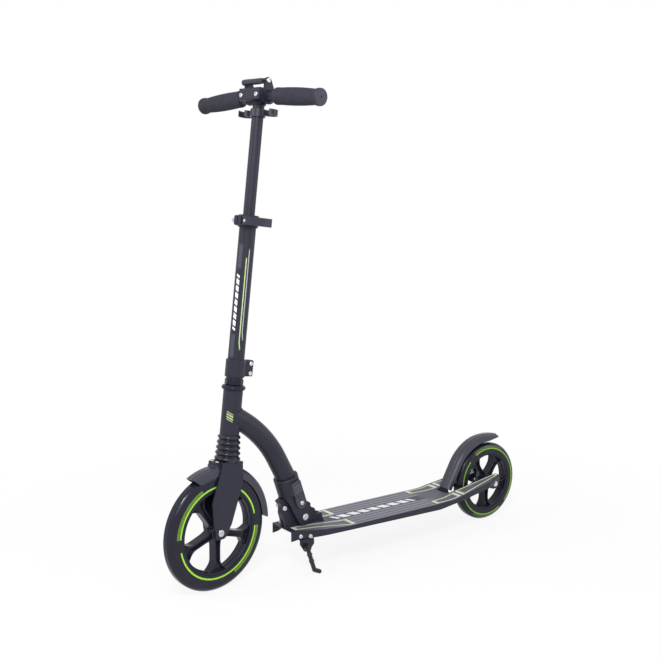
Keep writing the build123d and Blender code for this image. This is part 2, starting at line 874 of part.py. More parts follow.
def hinge_plate():
    # Side plate welded to the deck, its front edge turned in, with a cam edge for the latch pin
    def polar(radius, angle):
        spot = latch_direction(angle) * radius
        return (spot.X, spot.Z)

    base = deck_top - pivot_z - deck_wall
    edge = latch_radius - latch_pin_radius - free_gap
    pocket = latch_radius - latch_drop
    outline = FilletPolyline(
        (40.5, base),
        (40.5, -14.0),
        (47.4, 11.4),
        (46.3, 24.9),
        (54.4, 36.9),
        (43.9, 42.0),
        polar(edge + 5.0, latch_angle + 18.0),
        polar(edge, latch_angle + 9.0),
        polar(edge, latch_angle - 9.0),
        polar(edge, latch_angle - 27.0),
        polar(edge, latch_angle - 45.0),
        polar(edge, latch_angle - 62.5),
        polar(pocket - latch_pin_radius, latch_angle - fold_range + 6.0),
        polar(pocket - latch_pin_radius, latch_angle - fold_range - 6.0),
        polar(edge + 1.5, latch_angle - fold_range - 15.0),
        (-37.1, -3.3),
        (-41.2, -3.5),
        (-48.1, -2.5),
        (-53.8, -20.0),
        (-53.8, base),
        radius=[0, 3, 4, 4, 2, 2, 2, 1, 1, 1, 1, 1.2, 1, 1, 1.5, 2, 1, 1.5, 3, 0],
        close=True,
    )
    face = make_face(outline)
    body = plate(face, plate_inner, plate_outer)
    turned = face - Pos(-plate_web, 0) * face
    turned &= Pos(cross_bolt_dx + cross_bolt_radius + through / 2, 0) * Rectangle(through, through)
    body += plate(turned, plate_slit, plate_inner + plate_slit)
    body = Pos(*pivot) * body
    for angle in (latch_angle, latch_angle - fold_range):
        body -= latch_slot(pocket, pocket + latch_radius, slide_gap + running_gap, angle)
    body -= Pos(*pivot) * rod(pivot_bolt_radius, -through, through)
    body -= Pos(*pivot) * Pos(cross_bolt_dx, 0, cross_bolt_dz) * rod(cross_bolt_radius, -through, through)
    body -= deck_prism(0.0, 0.0, False)
    return body


def latch_slider():
    # Ridged plate that carries the latch pin, slides on the cheek and fits the groove in the collar
    blade = Pos(0, slider_length / 2) * RectangleRounded(2 * slider_half_width, slider_length, slider_corner)
    blade += Circle(slider_half_width)
    blade += Pos(0, slider_length / 4) * Rectangle(2 * slider_half_width, slider_length / 2)
    body = plate(blade, slider_inner, slider_outer)
    ridge = Box(2 * slider_half_width - slider_ridge, slider_ridge, slider_ridge)
    for z in slider_ridges:
        body += Pos(0, slider_outer, z) * ridge
    body -= rod(latch_pin_radius, -through, through)
    hollow = Cylinder(collar_floor + slide_gap, 2 * (collar_length + latch_lift + free_gap))
    return on_latch(body) - collar_plane().location * hollow


def on_latch(shape):
    # Places a shape built round the latch pin, with Z along the slide
    spot = pivot + latch_direction(latch_angle) * latch_radius
    return Pos(*spot) * Rot(Y=latch_angle) * shape


def latch_pin():
    return on_latch(double_bolt(latch_pin_radius, latch_head_radius, latch_head_height, slider_outer))


def double_bolt(radius, head_radius, head_height, outer):
    # Rivet with a domed head on each side
    one = bolt(radius, head_radius, head_height, -outer, outer)
    return one + mirror(bolt(radius, head_radius, head_height, 0, outer), about=Plane.XZ)


def deck_top_line(lift):
    return FilletPolyline(
        (deck_front_x, deck_front_top + lift),
        (deck_front_x - 57.3, deck_front_top + lift - 1.5),
        (deck_front_x - 129.3, deck_top + lift),
        (arm_start_x, deck_top + lift),
        (arm_tip_x, arm_tip_top + lift),
        radius=[120.0, 160.0, 120.0],
    )


def deck_bottom_line(drop):
    return FilletPolyline(
        (deck_front_x, deck_front_top - deck_front_side - drop),
        (deck_front_x - flare_end, deck_top - deck_shoulder_side - drop),
        (arm_start_x + arm_lead, deck_top - deck_side - drop),
        (arm_tip_x, arm_tip_top - deck_side - drop),
        radius=[150.0, 120.0],
    )


def band(upper, lower):
    # Side view between two lines, as wide as the deck
    a0, a1 = upper @ 0, upper @ 1
    b0, b1 = lower @ 0, lower @ 1
    face = make_face(Curve() + [upper, Line(a1, b1), lower, Line(b0, a0)])
    return along_y(extrude(face, amount=deck_half_width + 10.0, both=True))


def deck_plan(inset, front_extra):
    # Plan view: narrow front, shoulders, straight sides, two arms either side of the wheel slot
    front = deck_front_x + front_extra
    tip = arm_tip_x + inset
    half = deck_half_width - inset
    nose = deck_front_half - inset
    slot = slot_half + inset
    outer_tip = arm_tip_half - inset * 0.8
    right = [
        (front, nose),
        (deck_front_x - flare_start, nose + 1.0),
        (deck_front_x - flare_end, half),
        (arm_start_x - 20.0, half),
        (arm_start_x - 118.0, half - 7.0),
        (tip, outer_tip),
        (tip, slot + 1.5),
        (slot_front_x - 14.0, slot),
        (slot_front_x + inset, slot),
    ]
    radii = [0.0, 8.0, 60.0, 60.0, 20.0, 2.0, 2.0, 60.0, 9.0]
    left = [(x, -y) for x, y in reversed(right)]
    return make_face(FilletPolyline(*(right + left), radius=radii + list(reversed(radii)), close=True))


def deck_prism(inset, front_extra, hollow):
    plan = Pos(0, 0, -10.0) * extrude(deck_plan(inset, front_extra), amount=200.0)
    if hollow:
        return plan & band(deck_top_line(-deck_wall), deck_bottom_line(5.0))
    return plan & band(deck_top_line(0.0), deck_bottom_line(0.0))


def dropout():
    # Axle plate that hangs from the top of a rear arm
    top = arm_tip_top + 10.0
    face = make_face(
        FilletPolyline(
            (rear_axle.X - dropout_radius, top),
            (rear_axle.X + dropout_radius + 14.0, top),
            (rear_axle.X + dropout_radius, rear_radius - dropout_radius),
            (rear_axle.X - dropout_radius, rear_radius - dropout_radius),
            radius=[0.5, 0.5, 9.0, 9.0],
            close=True,
        )
    )
    hanger = plate(face, dropout_outer - dropout_thick, dropout_outer)
    return hanger & band(deck_top_line(-0.4), deck_bottom_line(60.0))


def deck_platform():
    body = deck_prism(0.0, 0.0, False) - deck_prism(deck_wall, 8.0, True)
    body -= Pos(*rear_axle) * rod(axle_head_radius + 1.6, -80, 80)
    for side in pair(dropout()):
        body += side
    rib = Box(deck_wall, 2 * deck_half_width - deck_wall, rib_depth, align=base_down)
    for share in rib_shares:
        x = deck_front_x + (slot_front_x - deck_front_x) * share
        body += Pos(x, 0, deck_top - deck_wall / 2) * rib
    lug = rod(brake_lug_radius, slot_half - brake_lug_reach, brake_lug_outer)
    for side in pair(Pos(brake_pivot_x, 0, brake_pivot_z) * lug):
        body += side
    body -= Pos(brake_pivot_x, 0, brake_pivot_z) * rod(brake_pin_radius, -40, 40)
    body -= Pos(*rear_axle) * rod(axle_radius + running_gap, -80, 80)
    for hole in stand_screws(stand_screw_radius, -20.0, 20.0):
        body -= hole
    return body


def grip_tape():
    area = deck_plan(tape_inset, -10.0)
    sheet = Pos(0, 0, -10.0) * extrude(area, amount=200.0)
    body = sheet & band(deck_top_line(tape_thick), deck_top_line(0.0))
    clear = plate_outer + tape_weld_gap
    body -= Pos(deck_front_x - 20.0, 0, deck_top) * Box(160.0, 2 * clear, 60.0)
    return body


def brake_fender():
    # Foot brake: a straight leg up from its pivot, a mudguard over the wheel, and a flatter tail
    hub = Vector(rear_axle.X + brake_center_shift, 0, rear_axle.Z)
    a0 = math.radians(brake_start_angle)
    out = Vector(math.cos(a0), math.sin(a0), 0)
    go = Vector(-math.sin(a0), math.cos(a0), 0)
    rise = Vector(hub.X, hub.Z, 0) + out * brake_inner
    foot = rise - go * brake_leg
    arc = JernArc((rise.X, rise.Y), (go.X, go.Y), brake_inner, brake_arc_angle)
    tail = JernArc(arc @ 1, arc % 1, brake_tail_radius, brake_tail_angle)
    path = Curve() + [Line((foot.X, foot.Y), (rise.X, rise.Y)), arc, tail]
    section = arch(brake_inner, brake_wall, brake_half_width, brake_skirt, brake_ridge)
    start = Plane(origin=foot, x_dir=out, z_dir=go)
    shell = along_y(sweep(start * Pos(-brake_inner, 0) * section, path=path))
    tip = tail @ 1
    back = tail % 1
    under = Vector(-back.Y, back.X)
    slant = [
        tip + back * brake_wall,
        tip - back * brake_tail_slant + under * brake_skirt,
        tip + back * brake_wall + under * 2 * brake_skirt,
    ]
    shell -= plate(make_face(Polyline(*slant, close=True)), -through, through)
    width = 2 * (brake_half_width - brake_wall)
    eye = Pos(brake_pivot_x, 0, brake_pivot_z) * rod(brake_pin_radius + 3.6, -width / 2, brake_spring_low())
    web = make_face(
        Polyline(
            (brake_pivot_x - 4.0, brake_pivot_z - 3.0),
            (brake_pivot_x + 5.0, brake_pivot_z + 2.0),
            (foot.X + out.X * brake_wall + go.X * 6.0, foot.Y + out.Y * brake_wall + go.Y * 6.0),
            (foot.X - 1.0 + go.X * 6.0, foot.Y - 1.0 + go.Y * 6.0),
            close=True,
        )
    )
    body = shell + eye + plate(web, -width / 2, brake_spring_low())
    body -= Pos(brake_pivot_x, 0, brake_pivot_z) * rod(brake_pin_radius + running_gap, -60, 60)
    return body


def brake_spring_low():
    coil = brake_spring_wire * (1.15 * brake_spring_turns + 1.0)
    return slot_half - brake_lug_reach - 2 * free_gap - coil


def brake_spring():
    low = brake_spring_low() + free_gap + brake_spring_wire / 2
    pitch = brake_spring_wire * 1.15
    radius = brake_pin_radius + 0.4 + brake_spring_wire / 2
    path = Helix(pitch=pitch, height=pitch * brake_spring_turns, radius=radius)
    start = Plane(origin=path @ 0, z_dir=path % 0)
    coil = sweep(start * Circle(brake_spring_wire / 2), path=path)
    return Pos(brake_pivot_x, low, brake_pivot_z) * Rot(X=-90) * coil


def flare_plane():
    # Upright plane on the outside of the left flange where it flares, at the kickstand
    run = Vector(-(flare_end - flare_start), deck_half_width - deck_front_half - 1.0, 0).normalized()
    share = (deck_front_x - flare_start - stand_x) / (flare_end - flare_start)
    y = deck_front_half + 1.0 + share * (deck_half_width - deck_front_half - 1.0)
    return Plane(origin=(stand_x, y, stand_screw_z()), x_dir=run, z_dir=(run.Y, -run.X, 0))


def stand_screw_z():
    return deck_front_top - deck_front_side + stand_screw_rise


def stand_screws(radius, low, high):
    at = flare_plane()
    return [
        at.location * Pos(x, 0, low) * Cylinder(radius, high - low, align=base_up)
        for x in (-stand_screw_spacing / 2, stand_screw_spacing / 2)
    ]


def kickstand_screws():
    heads = []
    at = flare_plane()
    for x in (-stand_screw_spacing / 2, stand_screw_spacing / 2):
        screw = bolt(stand_screw_radius, 4.2, 2.2, -deck_wall - stand_plate, 0)
        heads.append(at.location * Pos(x, 0, 0) * Rot(X=90) * screw)
    return heads


def kickstand_bracket():
    # A flange behind the deck's flared wall and a rounded plate below it that carries the stand's pin
    at = flare_plane()
    flange_length = stand_screw_spacing + 3 * stand_screw_radius
    flange = Box(flange_length, stand_flange, stand_plate, align=base_down)
    flange = at.location * Pos(0, 0, -deck_wall) * flange
    low = stand_screw_z() - stand_flange / 2 - stand_plate / 2
    face = make_face(
        FilletPolyline(
            (stand_x + stand_front, low),
            (stand_x + stand_front, stand_pivot_z + stand_drop * 0.6),
            (stand_x + stand_front * 0.2, stand_pivot_z - stand_drop),
            (stand_x - stand_rear * 0.4, stand_pivot_z - stand_drop),
            (stand_x - stand_rear, stand_pivot_z + stand_drop * 0.3),
            (stand_x - stand_rear, low),
            radius=[r * stand_drop for r in (0.1, 0.5, 0.4, 0.4, 0.5, 0.1)],
            close=True,
        )
    )
    inner = flare_plane().origin.Y - deck_wall - 2 * stand_plate
    body = plate(face, stand_y - stand_plate, stand_y)
    shelf = Pos(stand_x, (inner + stand_y) / 2, low) * Box(stand_shelf, stand_y - inner, stand_plate)
    body += shelf + flange
    body -= Pos(stand_x, 0, stand_pivot_z) * rod(stand_pin_radius, 0, 80)
    for hole in stand_screws(stand_screw_radius, -30.0, 0.0):
        body -= hole
    return body


def kickstand_leg():
    # Bent rod with a flattened eye on the pin and a foot that turns out along the ground
    y = stand_y + free_gap + stand_leg_radius
    top = Vector(stand_x, y, stand_pivot_z)
    foot = Vector(stand_foot_x, stand_foot_y, stand_leg_radius)
    shank = foot - top
    knee = top + shank * stand_knee
    bend = Polyline(
        (top.X, top.Y, top.Z),
        (knee.X, knee.Y, knee.Z),
        (foot.X + stand_toe[0], foot.Y + stand_toe[1], foot.Z),
    )
    body = Solid.make_sphere(stand_leg_radius, angle1=-90, angle2=90, angle3=360)
    body = Pos(bend @ 1) * body
    for a, b in ((top, knee), (knee, bend @ 1)):
        line = Line(a, b)
        end = Plane(origin=a, z_dir=(b - a).normalized())
        body += sweep(end * Circle(stand_leg_radius), path=line)
    body += Pos(knee) * Sphere(stand_leg_radius)
    for share in stand_bumps:
        body += Pos(top + shank * share) * Sphere(stand_leg_radius + stand_bump)
    body += Pos(*top) * rod(stand_leg_radius + 2.6, -stand_leg_radius, stand_leg_radius)
    body -= Pos(*top) * rod(stand_pin_radius + running_gap, -40, 40)
    ground = Pos(foot.X, foot.Y, 0) * Box(80, 80, 40, align=base_down)
    return body - ground


def kickstand_pin():
    reach = stand_y + 2 * free_gap + 2 * stand_leg_radius
    return Pos(stand_x, 0, stand_pivot_z) * bolt(
        stand_pin_radius, 5.0, 2.0, stand_y - stand_plate - 2.0, reach
    )


def steerer():
    bore = stanchion_radius + 0.4
    return on_column(tube(steerer_radius, bore, head_low_s - bellows_neck / 4, steerer_top_s))


def headset_bearings():
    rings = []
    for low in (head_low_s, head_top_s - bearing_ring_height):
        ring = tube(head_bore, steerer_radius + running_gap, low, low + bearing_ring_height)
        rings.append(on_column(ring))
    return rings


def headset_cover():
    low = head_top_s + free_gap
    high = low + cover_height
    ease = cover_height / 3
    crown = spin(
        [
            (steerer_radius, low),
            (cover_radius - ease / 2, low),
            (cover_radius, low + ease),
            (cover_radius, high - 1.4 * ease),
            (cover_radius - ease, high - ease / 3),
            (cover_radius - 2 * ease, high),
            (steerer_radius, high),
        ]
    )
    return on_column(crown)


def locknut():
    low = head_top_s + free_gap + cover_height
    octagon = RegularPolygon(locknut_radius, 8, major_radius=False)
    body = Pos(0, 0, low) * extrude(octagon, amount=locknut_height)
    body &= ring_band(locknut_radius + 0.8, 2.0, low, low + locknut_height, 1.4)
    return on_column(body - Cylinder(steerer_radius, 2 * steerer_top_s))


def clamp_bolts():
    half = clamp_slit / 2 + clamp_ear_thick
    return [
        on_column(Pos(clamp_bolt_x(), 0, clamp_low_s + z) * bolt(clamp_bolt_radius, 4.6, 2.6, -half, half))
        for z in clamp_bolt_heights()
    ]


def lower_stem():
    low = head_top_s + free_gap + cover_height + locknut_height
    high = height_clamp_low_s + height_clamp_height - height_clamp_cap
    return on_column(tube(lower_stem_radius, steerer_radius, low, high))


def stem_bush():
    high = height_clamp_low_s + height_clamp_height - height_clamp_cap
    return on_column(tube(steerer_radius, upper_stem_radius + running_gap, high - bush_length, high))


def lever_height_s():
    return height_clamp_low_s + height_clamp_height / 2


def upper_stem():
    return on_column(tube(upper_stem_radius, upper_stem_bore, upper_stem_low_s, upper_stem_top()))


def head_bolts():
    bolts = []
    for y in (-head_bolt_y, head_bolt_y):
        shank = bolt(head_bolt_radius, 2 * head_bolt_radius, 2.6, -head_bolt_length, 0)
        bolts.append(on_column(Pos(lip_reach, y, bar_s + head_bolt_rise) * Rot(Z=-90) * shank))
    return bolts


def bar_lever_bolt():
    up = Pos(bar_lever_x, 0, bar_lever_s)
    return on_column(up * bolt(lever_pin_radius, 4.6, 2.4, -head_half_width, head_half_width))


def on_left_bar(shape, y):
    # A shape built along Z is laid along the left handle, starting y from the middle
    return on_column(Pos(0, 0, bar_s) * drooped(Pos(0, 0, y) * shape))


def handle(side):
    bar = on_left_bar(tube(bar_tube_radius, bar_tube_bore, 0, bar_end - bar_start), bar_start)
    sleeve = on_left_bar(grip(), grip_start)
    solids = [("bar", bar), ("grip", sleeve), ("end_cap", on_left_bar(end_cap(), grip_end))]
    for name, solid in solids:
        if side == "right":
            solid = mirror(solid, about=Plane.XZ)
        save_steered(side + "_" + name, solid)


def fender_screws():
    head = Rot(X=90) * bolt(fender_screw_radius, 4.0, 2.0, -fender_screw_length, 0)
    place = Pos(crown_tab - fender_boss / 2, 0, crown_s + crown_thick)
    return [on_column(place * Pos(0, y, 0) * head) for y in (-fender_screw_y, fender_screw_y)]


def wheel_spacers(axle, outer):
    ring = tube(hub_spacer_radius, axle_radius + running_gap, hub_half_width + 0.15, outer)
    one = along_y(ring)
    return [Pos(*axle) * one, Pos(*axle) * mirror(one, about=Plane.XZ)]


os.makedirs("parts", exist_ok=True)

# Deck and what is fixed to it
save("deck_platform", deck_platform())
save("grip_tape", grip_tape())
save("hinge_plates", *pair(hinge_plate()))
pivot_bolt = double_bolt(pivot_bolt_radius, pivot_head_radius, fold_head_height, cheek_outer + running_gap)
save("fold_pivot_bolt", Pos(*pivot) * pivot_bolt)
cross_bolt = bolt(cross_bolt_radius, cross_head_radius, fold_head_height, -plate_outer, plate_outer)
long_nut = extrude(RegularPolygon(cross_head_radius, 6), amount=cross_nut)
cross_bolt += Pos(0, -plate_outer, 0) * along_y(long_nut)
save("hinge_cross_bolt", Pos(*pivot) * Pos(cross_bolt_dx, 0, cross_bolt_dz) * cross_bolt)
save("kickstand_bracket", kickstand_bracket())
save("kickstand_screws", *kickstand_screws())
save("kickstand_pin", kickstand_pin())
save("kickstand_leg", kickstand_leg())
axle_set("rear", dropout_outer, rear_axle, save)
save("rear_axle_spacers", *wheel_spacers(rear_axle, dropout_outer - dropout_thick))
wheel("rear", rear_radius, rear_seat_radius, rear_axle, save)
save("brake_fender", brake_fender())
brake_pin = rod(brake_pin_radius, -brake_lug_outer, brake_lug_outer)
save("brake_pin", Pos(brake_pivot_x, 0, brake_pivot_z) * brake_pin)
save("brake_spring", brake_spring())

# Neck and its latch
save("neck_frame", neck_frame())
save("fold_knuckle", knuckle())
save("headset_bearings", *headset_bearings())
save("latch_slider", *pair(latch_slider()))
save("latch_pin", latch_pin())

# Steered parts, drawn straight ahead and turned as they stand
save_steered("steerer_tube", steerer())
save_steered("headset_cover", headset_cover())
save_steered("headset_locknut", locknut())
save_steered("stem_clamp", on_column(Pos(0, 0, clamp_low_s) * stem_clamp()))
save_steered("stem_clamp_bolts", *clamp_bolts())
save_steered("lower_stem", lower_stem())
save_steered("stem_bush", stem_bush())
save_steered("height_clamp", on_column(Pos(0, 0, height_clamp_low_s) * height_clamp()))
save_steered("height_clamp_bolt", on_column(Pos(0, 0, lever_height_s()) * height_bolt()))
lever_pin = Pos(lever_pivot_x, lever_pivot_y, lever_height_s()) * Cylinder(lever_pin_radius, lever_height)
save_steered("height_lever_pin", on_column(lever_pin))
save_steered("height_lever", on_column(Pos(0, 0, lever_height_s()) * height_lever()))
save_steered("upper_stem_tube", upper_stem())
save_steered("handle_clip", on_column(Pos(0, 0, clip_low_s) * handle_clip()))
save_steered("bar_head", on_column(Pos(0, 0, bar_s) * bar_head()))
save_steered("bar_head_bolts", *head_bolts())
save_steered("bar_lever_bolt", bar_lever_bolt())
save_steered("bar_lever", on_column(Pos(0, 0, bar_s) * bar_lever()))
handle("left")
handle("right")
save_steered("fork", fork())
save_steered("front_fender", front_fender())
save_steered("fender_screws", *fender_screws())
save_steered("bellows", on_column(bellows()))
save_steered("suspension_spring", on_column(suspension_spring()))
axle_set("front", blade_inner + blade_thick, front_axle, save_steered)
save_steered("front_axle_spacers", *wheel_spacers(front_axle, blade_inner))
wheel("front", front_radius, front_seat_radius, front_axle, save_steered)
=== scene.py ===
import json
import math

import bmesh
import bpy
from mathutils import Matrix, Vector
from mathutils.bvhtree import BVHTree


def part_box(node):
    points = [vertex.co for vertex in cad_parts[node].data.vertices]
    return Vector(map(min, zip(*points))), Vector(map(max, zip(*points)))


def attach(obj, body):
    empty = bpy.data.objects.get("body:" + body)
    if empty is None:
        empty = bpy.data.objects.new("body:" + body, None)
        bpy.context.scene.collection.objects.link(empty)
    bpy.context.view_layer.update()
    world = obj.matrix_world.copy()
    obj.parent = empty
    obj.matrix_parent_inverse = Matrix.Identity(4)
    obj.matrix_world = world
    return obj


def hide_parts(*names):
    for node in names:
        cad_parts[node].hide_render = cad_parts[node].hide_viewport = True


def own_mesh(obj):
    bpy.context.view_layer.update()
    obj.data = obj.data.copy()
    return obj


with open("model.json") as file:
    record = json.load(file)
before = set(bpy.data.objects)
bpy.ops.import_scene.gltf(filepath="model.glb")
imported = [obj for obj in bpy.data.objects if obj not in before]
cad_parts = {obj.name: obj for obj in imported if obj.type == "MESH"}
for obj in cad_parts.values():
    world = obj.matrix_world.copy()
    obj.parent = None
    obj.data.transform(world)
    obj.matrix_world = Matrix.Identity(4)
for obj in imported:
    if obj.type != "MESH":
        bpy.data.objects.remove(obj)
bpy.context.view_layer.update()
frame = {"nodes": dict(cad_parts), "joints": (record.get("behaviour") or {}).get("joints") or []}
joints = {j["name"]: j for j in frame["joints"]}
mm = 0.001
print("frame loaded,", len(frame["nodes"]), "nodes")

# directions that the prints and turned pieces are laid out on
stemUp = Vector(joints["steering"]["axis"])
stemFoot = Vector(joints["steering"]["pos_m"])
stemLeft = Vector(joints["front_wheel_spin"]["axis"])
stemAhead = stemLeft.cross(stemUp).normalized()
frontHub = Vector(joints["front_wheel_spin"]["pos_m"])
rearHub = Vector(joints["rear_wheel_spin"]["pos_m"])
worldAhead = Vector((1, 0, 0))
worldLeft = Vector((0, 1, 0))
worldDown = Vector((0, 0, -1))
headAhead = worldLeft.cross(stemUp).normalized()


def linear(hexColour):
    # sRGB hex to the linear values that sockets take
    channels = [int(hexColour[k : k + 2], 16) / 255 for k in (1, 3, 5)]
    return [c / 12.92 if c <= 0.04045 else ((c + 0.055) / 1.055) ** 2.4 for c in channels] + [1.0]


def add(tree, kind, links=None, out=0, **settings):
    # links holds what goes into the node's sockets: other nodes' outputs or plain values
    made = tree.nodes.new(kind)
    for name, value in settings.items():
        setattr(made, name, value)
    for socket, value in (links or {}).items():
        if isinstance(value, bpy.types.NodeSocket):
            tree.links.new(value, made.inputs[socket])
        else:
            made.inputs[socket].default_value = value
    return made.outputs[out] if made.outputs else made


def finish(name, paint, **fixed):
    # paint gives the sockets that vary over the surface, fixed the ones that don't
    made = bpy.data.materials.new(name)
    made.use_nodes = True
    tree = made.node_tree
    tree.nodes.clear()
    place = add(tree, "ShaderNodeTexCoord", out="Object")
    sockets = {key.replace("_", " "): value for key, value in fixed.items()}
    sockets.update(paint(tree, place))
    shader = add(tree, "ShaderNodeBsdfPrincipled", sockets)
    add(tree, "ShaderNodeOutputMaterial", {"Surface": shader})
    return made


noiseLow, noiseHigh = 0.3, 0.7  # noise lies mostly between these
cornerStart, cornerFull = 0.995, 0.86  # how far an eased corner turns the normal, as a cosine
# sockets by number: a colour mix has its factor at 0 and its colours at 6 and 7,
# a map range its value at 0, the range read at 1 and 2, the range given at 3 and 4


def mottled(tree, place, look):
    # broad tone change, fine grain in gloss and relief, corners eased and painted a little paler as a
    # highlight
    cloud = add(tree, "ShaderNodeTexNoise", {"Vector": place, "Scale": 1 / look["cloud"]})
    grain = add(tree, "ShaderNodeTexNoise", {"Vector": place, "Scale": 1 / look["grain"]})
    sides = {0: cloud, 6: linear(look["dark"]), 7: linear(look["light"])}
    colour = add(tree, "ShaderNodeMix", sides, out=2, data_type="RGBA")
    corner = add(tree, "ShaderNodeBevel", {"Radius": look["edge"]}, samples=4)
    flat = add(tree, "ShaderNodeNewGeometry", out="Normal")
    turned = add(tree, "ShaderNodeVectorMath", {0: corner, 1: flat}, out="Value", operation="DOT_PRODUCT")
    # painted highlight: where the eased corner turns the normal, the colour is painted paler along the edge
    limits = {0: turned, 1: cornerStart, 2: cornerFull, 3: 0.0, 4: look["edgeHighlightShare"]}
    edgeHighlight = add(tree, "ShaderNodeMapRange", limits)
    sides = {0: edgeHighlight, 6: colour, 7: linear(look["edgeHighlight"])}
    colour = add(tree, "ShaderNodeMix", sides, out=2, data_type="RGBA")
    bumps = {"Height": grain, "Distance": look["depth"], "Normal": corner, "Strength": 1.0}
    normal = add(tree, "ShaderNodeBump", bumps)
    limits = {0: grain, 1: noiseLow, 2: noiseHigh, 3: look["smooth"], 4: look["rough"]}
    roughness = add(tree, "ShaderNodeMapRange", limits)
    return {"Base Color": colour, "Roughness": roughness, "Normal": normal}


def mottledFinish(name, look, **fixed):
    return finish(name, lambda tree, place: mottled(tree, place, look), **fixed)


def along(tree, place, origin, axis):
    # distance from origin along an axis
    offset = add(tree, "ShaderNodeVectorMath", {0: place, 1: origin}, operation="SUBTRACT")
    return add(tree, "ShaderNodeVectorMath", {0: offset, 1: axis}, out="Value", operation="DOT_PRODUCT")


def stripe(tree, value, middle, width, soft=0.25 * mm):
    # 1 inside a band about the middle, 0 outside
    away = add(tree, "ShaderNodeMath", {0: value, 1: middle}, operation="SUBTRACT")
    away = add(tree, "ShaderNodeMath", {0: away}, operation="ABSOLUTE")
    limits = {0: away, 1: width / 2 - soft, 2: width / 2 + soft, 3: 1.0, 4: 0.0}
    return add(tree, "ShaderNodeMapRange", limits, interpolation_type="SMOOTHSTEP")


def slantedBars(tree, run, across, look):
    # a row of plain slanted bars: run goes along the row, across stands over it
    lean = add(tree, "ShaderNodeMath", {0: across, 1: look["slant"], 2: run}, operation="MULTIPLY_ADD")
    middle = (look["from"] + look["to"]) / 2
    inRow = stripe(tree, lean, middle, look["to"] - look["from"])
    inHeight = stripe(tree, across, look["middle"], look["height"])
    inRow = add(tree, "ShaderNodeMath", {0: inRow, 1: inHeight}, operation="MULTIPLY")
    half = look["pitch"] / 2
    shifted = add(tree, "ShaderNodeMath", {0: lean, 1: look["from"] - half}, operation="SUBTRACT")
    wave = add(tree, "ShaderNodeMath", {0: shifted, 1: half}, operation="PINGPONG")
    solid = stripe(tree, wave, half, look["pitch"] * look["share"])
    return add(tree, "ShaderNodeMath", {0: inRow, 1: solid}, operation="MULTIPLY")


def printed(tree, colour, prints):
    # lays prints over a colour in turn, each an ink and the mask of where it goes
    for ink, mask in prints:
        sides = {0: mask, 6: colour, 7: linear(ink)}
        colour = add(tree, "ShaderNodeMix", sides, out=2, data_type="RGBA", clamp_factor=True)
    return colour


# satin powder coat on aluminium: blue black, a soft sheen with a faint orange peel
powder = {
    "dark": "#20212d",
    "light": "#272835",
    # the paler corner colour below is a painted highlight along the edges, as in every look here
    "edgeHighlight": "#42445a",
    "edgeHighlightShare": 0.5,
    "cloud": 60 * mm,
    "grain": 1.6 * mm,  # real peel is under 1 mm, drawn coarser to show
    "depth": 0.02 * mm,
    "edge": 0.7 * mm,
    "smooth": 0.36,
    "rough": 0.46,
}
coat = {"IOR": 1.5, "Specular_IOR_Level": 0.25}  # the satin grain swallows half of the reflection
powderCoat = mottledFinish("powder_coated_aluminium", powder, **coat)

# moulded polypropylene: the same black, a little smoother and cleaner
moulded = {
    "dark": "#252632",
    "light": "#2c2d3a",
    "edgeHighlight": "#454759",
    "edgeHighlightShare": 0.35,
    "cloud": 35 * mm,
    "grain": 0.9 * mm,
    "depth": 0.012 * mm,
    "edge": 0.6 * mm,
    "smooth": 0.32,
    "rough": 0.4,
}
plain = {"IOR": 1.49, "Specular_IOR_Level": 0.35}
mouldedPlastic = mottledFinish("moulded_polypropylene", moulded, **plain)

# polished polypropylene of both fenders and the latch: paler blue grey where light lies along an edge
polished = dict(moulded, dark="#2e2f3b", light="#343542", edgeHighlight="#4c4e60", edgeHighlightShare=0.25)
polished.update(smooth=0.2, rough=0.26)
bright = {"IOR": 1.49, "Specular_IOR_Level": 0.45}
fenderPlastic = mottledFinish("polished_polypropylene", polished, **bright)

# glass filled nylon of the wheel cores: deeper black, glossier, broad soft reflections
nylon = {
    "dark": "#171823",
    "light": "#1d1e2a",
    "edgeHighlight": "#40425a",
    "edgeHighlightShare": 0.6,
    "cloud": 18 * mm,
    "grain": 3 * mm,
    "depth": 0.01 * mm,
    "edge": 1.0 * mm,
    "smooth": 0.16,
    "rough": 0.24,
}
glossy = {"IOR": 1.53, "Specular_IOR_Level": 0.18}
wheelNylon = mottledFinish("moulded_nylon", nylon, **glossy)

# bright zinc on steel: a clean pale metal, faintly clouded
zinc = {
    "dark": "#b4b5b9",
    "light": "#d2d3d6",
    "edgeHighlight": "#e4e4e6",
    "edgeHighlightShare": 0.6,
    "cloud": 6 * mm,
    "grain": 1.2 * mm,
    "depth": 0.01 * mm,
    "edge": 0.35 * mm,
    "smooth": 0.2,
    "rough": 0.32,
}
zincSteel = mottledFinish("zinc_plated_steel", zinc, Metallic=1.0)

# black oxide steel of the stand, two pins and both springs: dark metal with a dry sheen
oxide = {
    "dark": "#2a2b30",
    "light": "#36373d",
    "edgeHighlight": "#6b6c72",
    "edgeHighlightShare": 0.5,
    "cloud": 12 * mm,
    "grain": 1.4 * mm,
    "depth": 0.02 * mm,
    "edge": 0.5 * mm,
    "smooth": 0.34,
    "rough": 0.48,
}
blackSteel = mottledFinish("black_oxide_steel", oxide, Metallic=0.7)

# moulded rubber of the boot: soft black, glossy along the folds
rubber = {
    "dark": "#1c1d28",
    "light": "#22232f",
    "edgeHighlight": "#30313e",
    "edgeHighlightShare": 0.2,
    "cloud": 9 * mm,
    "grain": 2 * mm,
    "depth": 0.02 * mm,
    "edge": 0.3 * mm,
    "smooth": 0.12,
    "rough": 0.2,
}
soft = {"IOR": 1.52, "Specular_IOR_Level": 0.3}
bootRubber = mottledFinish("moulded_rubber", rubber, **soft)

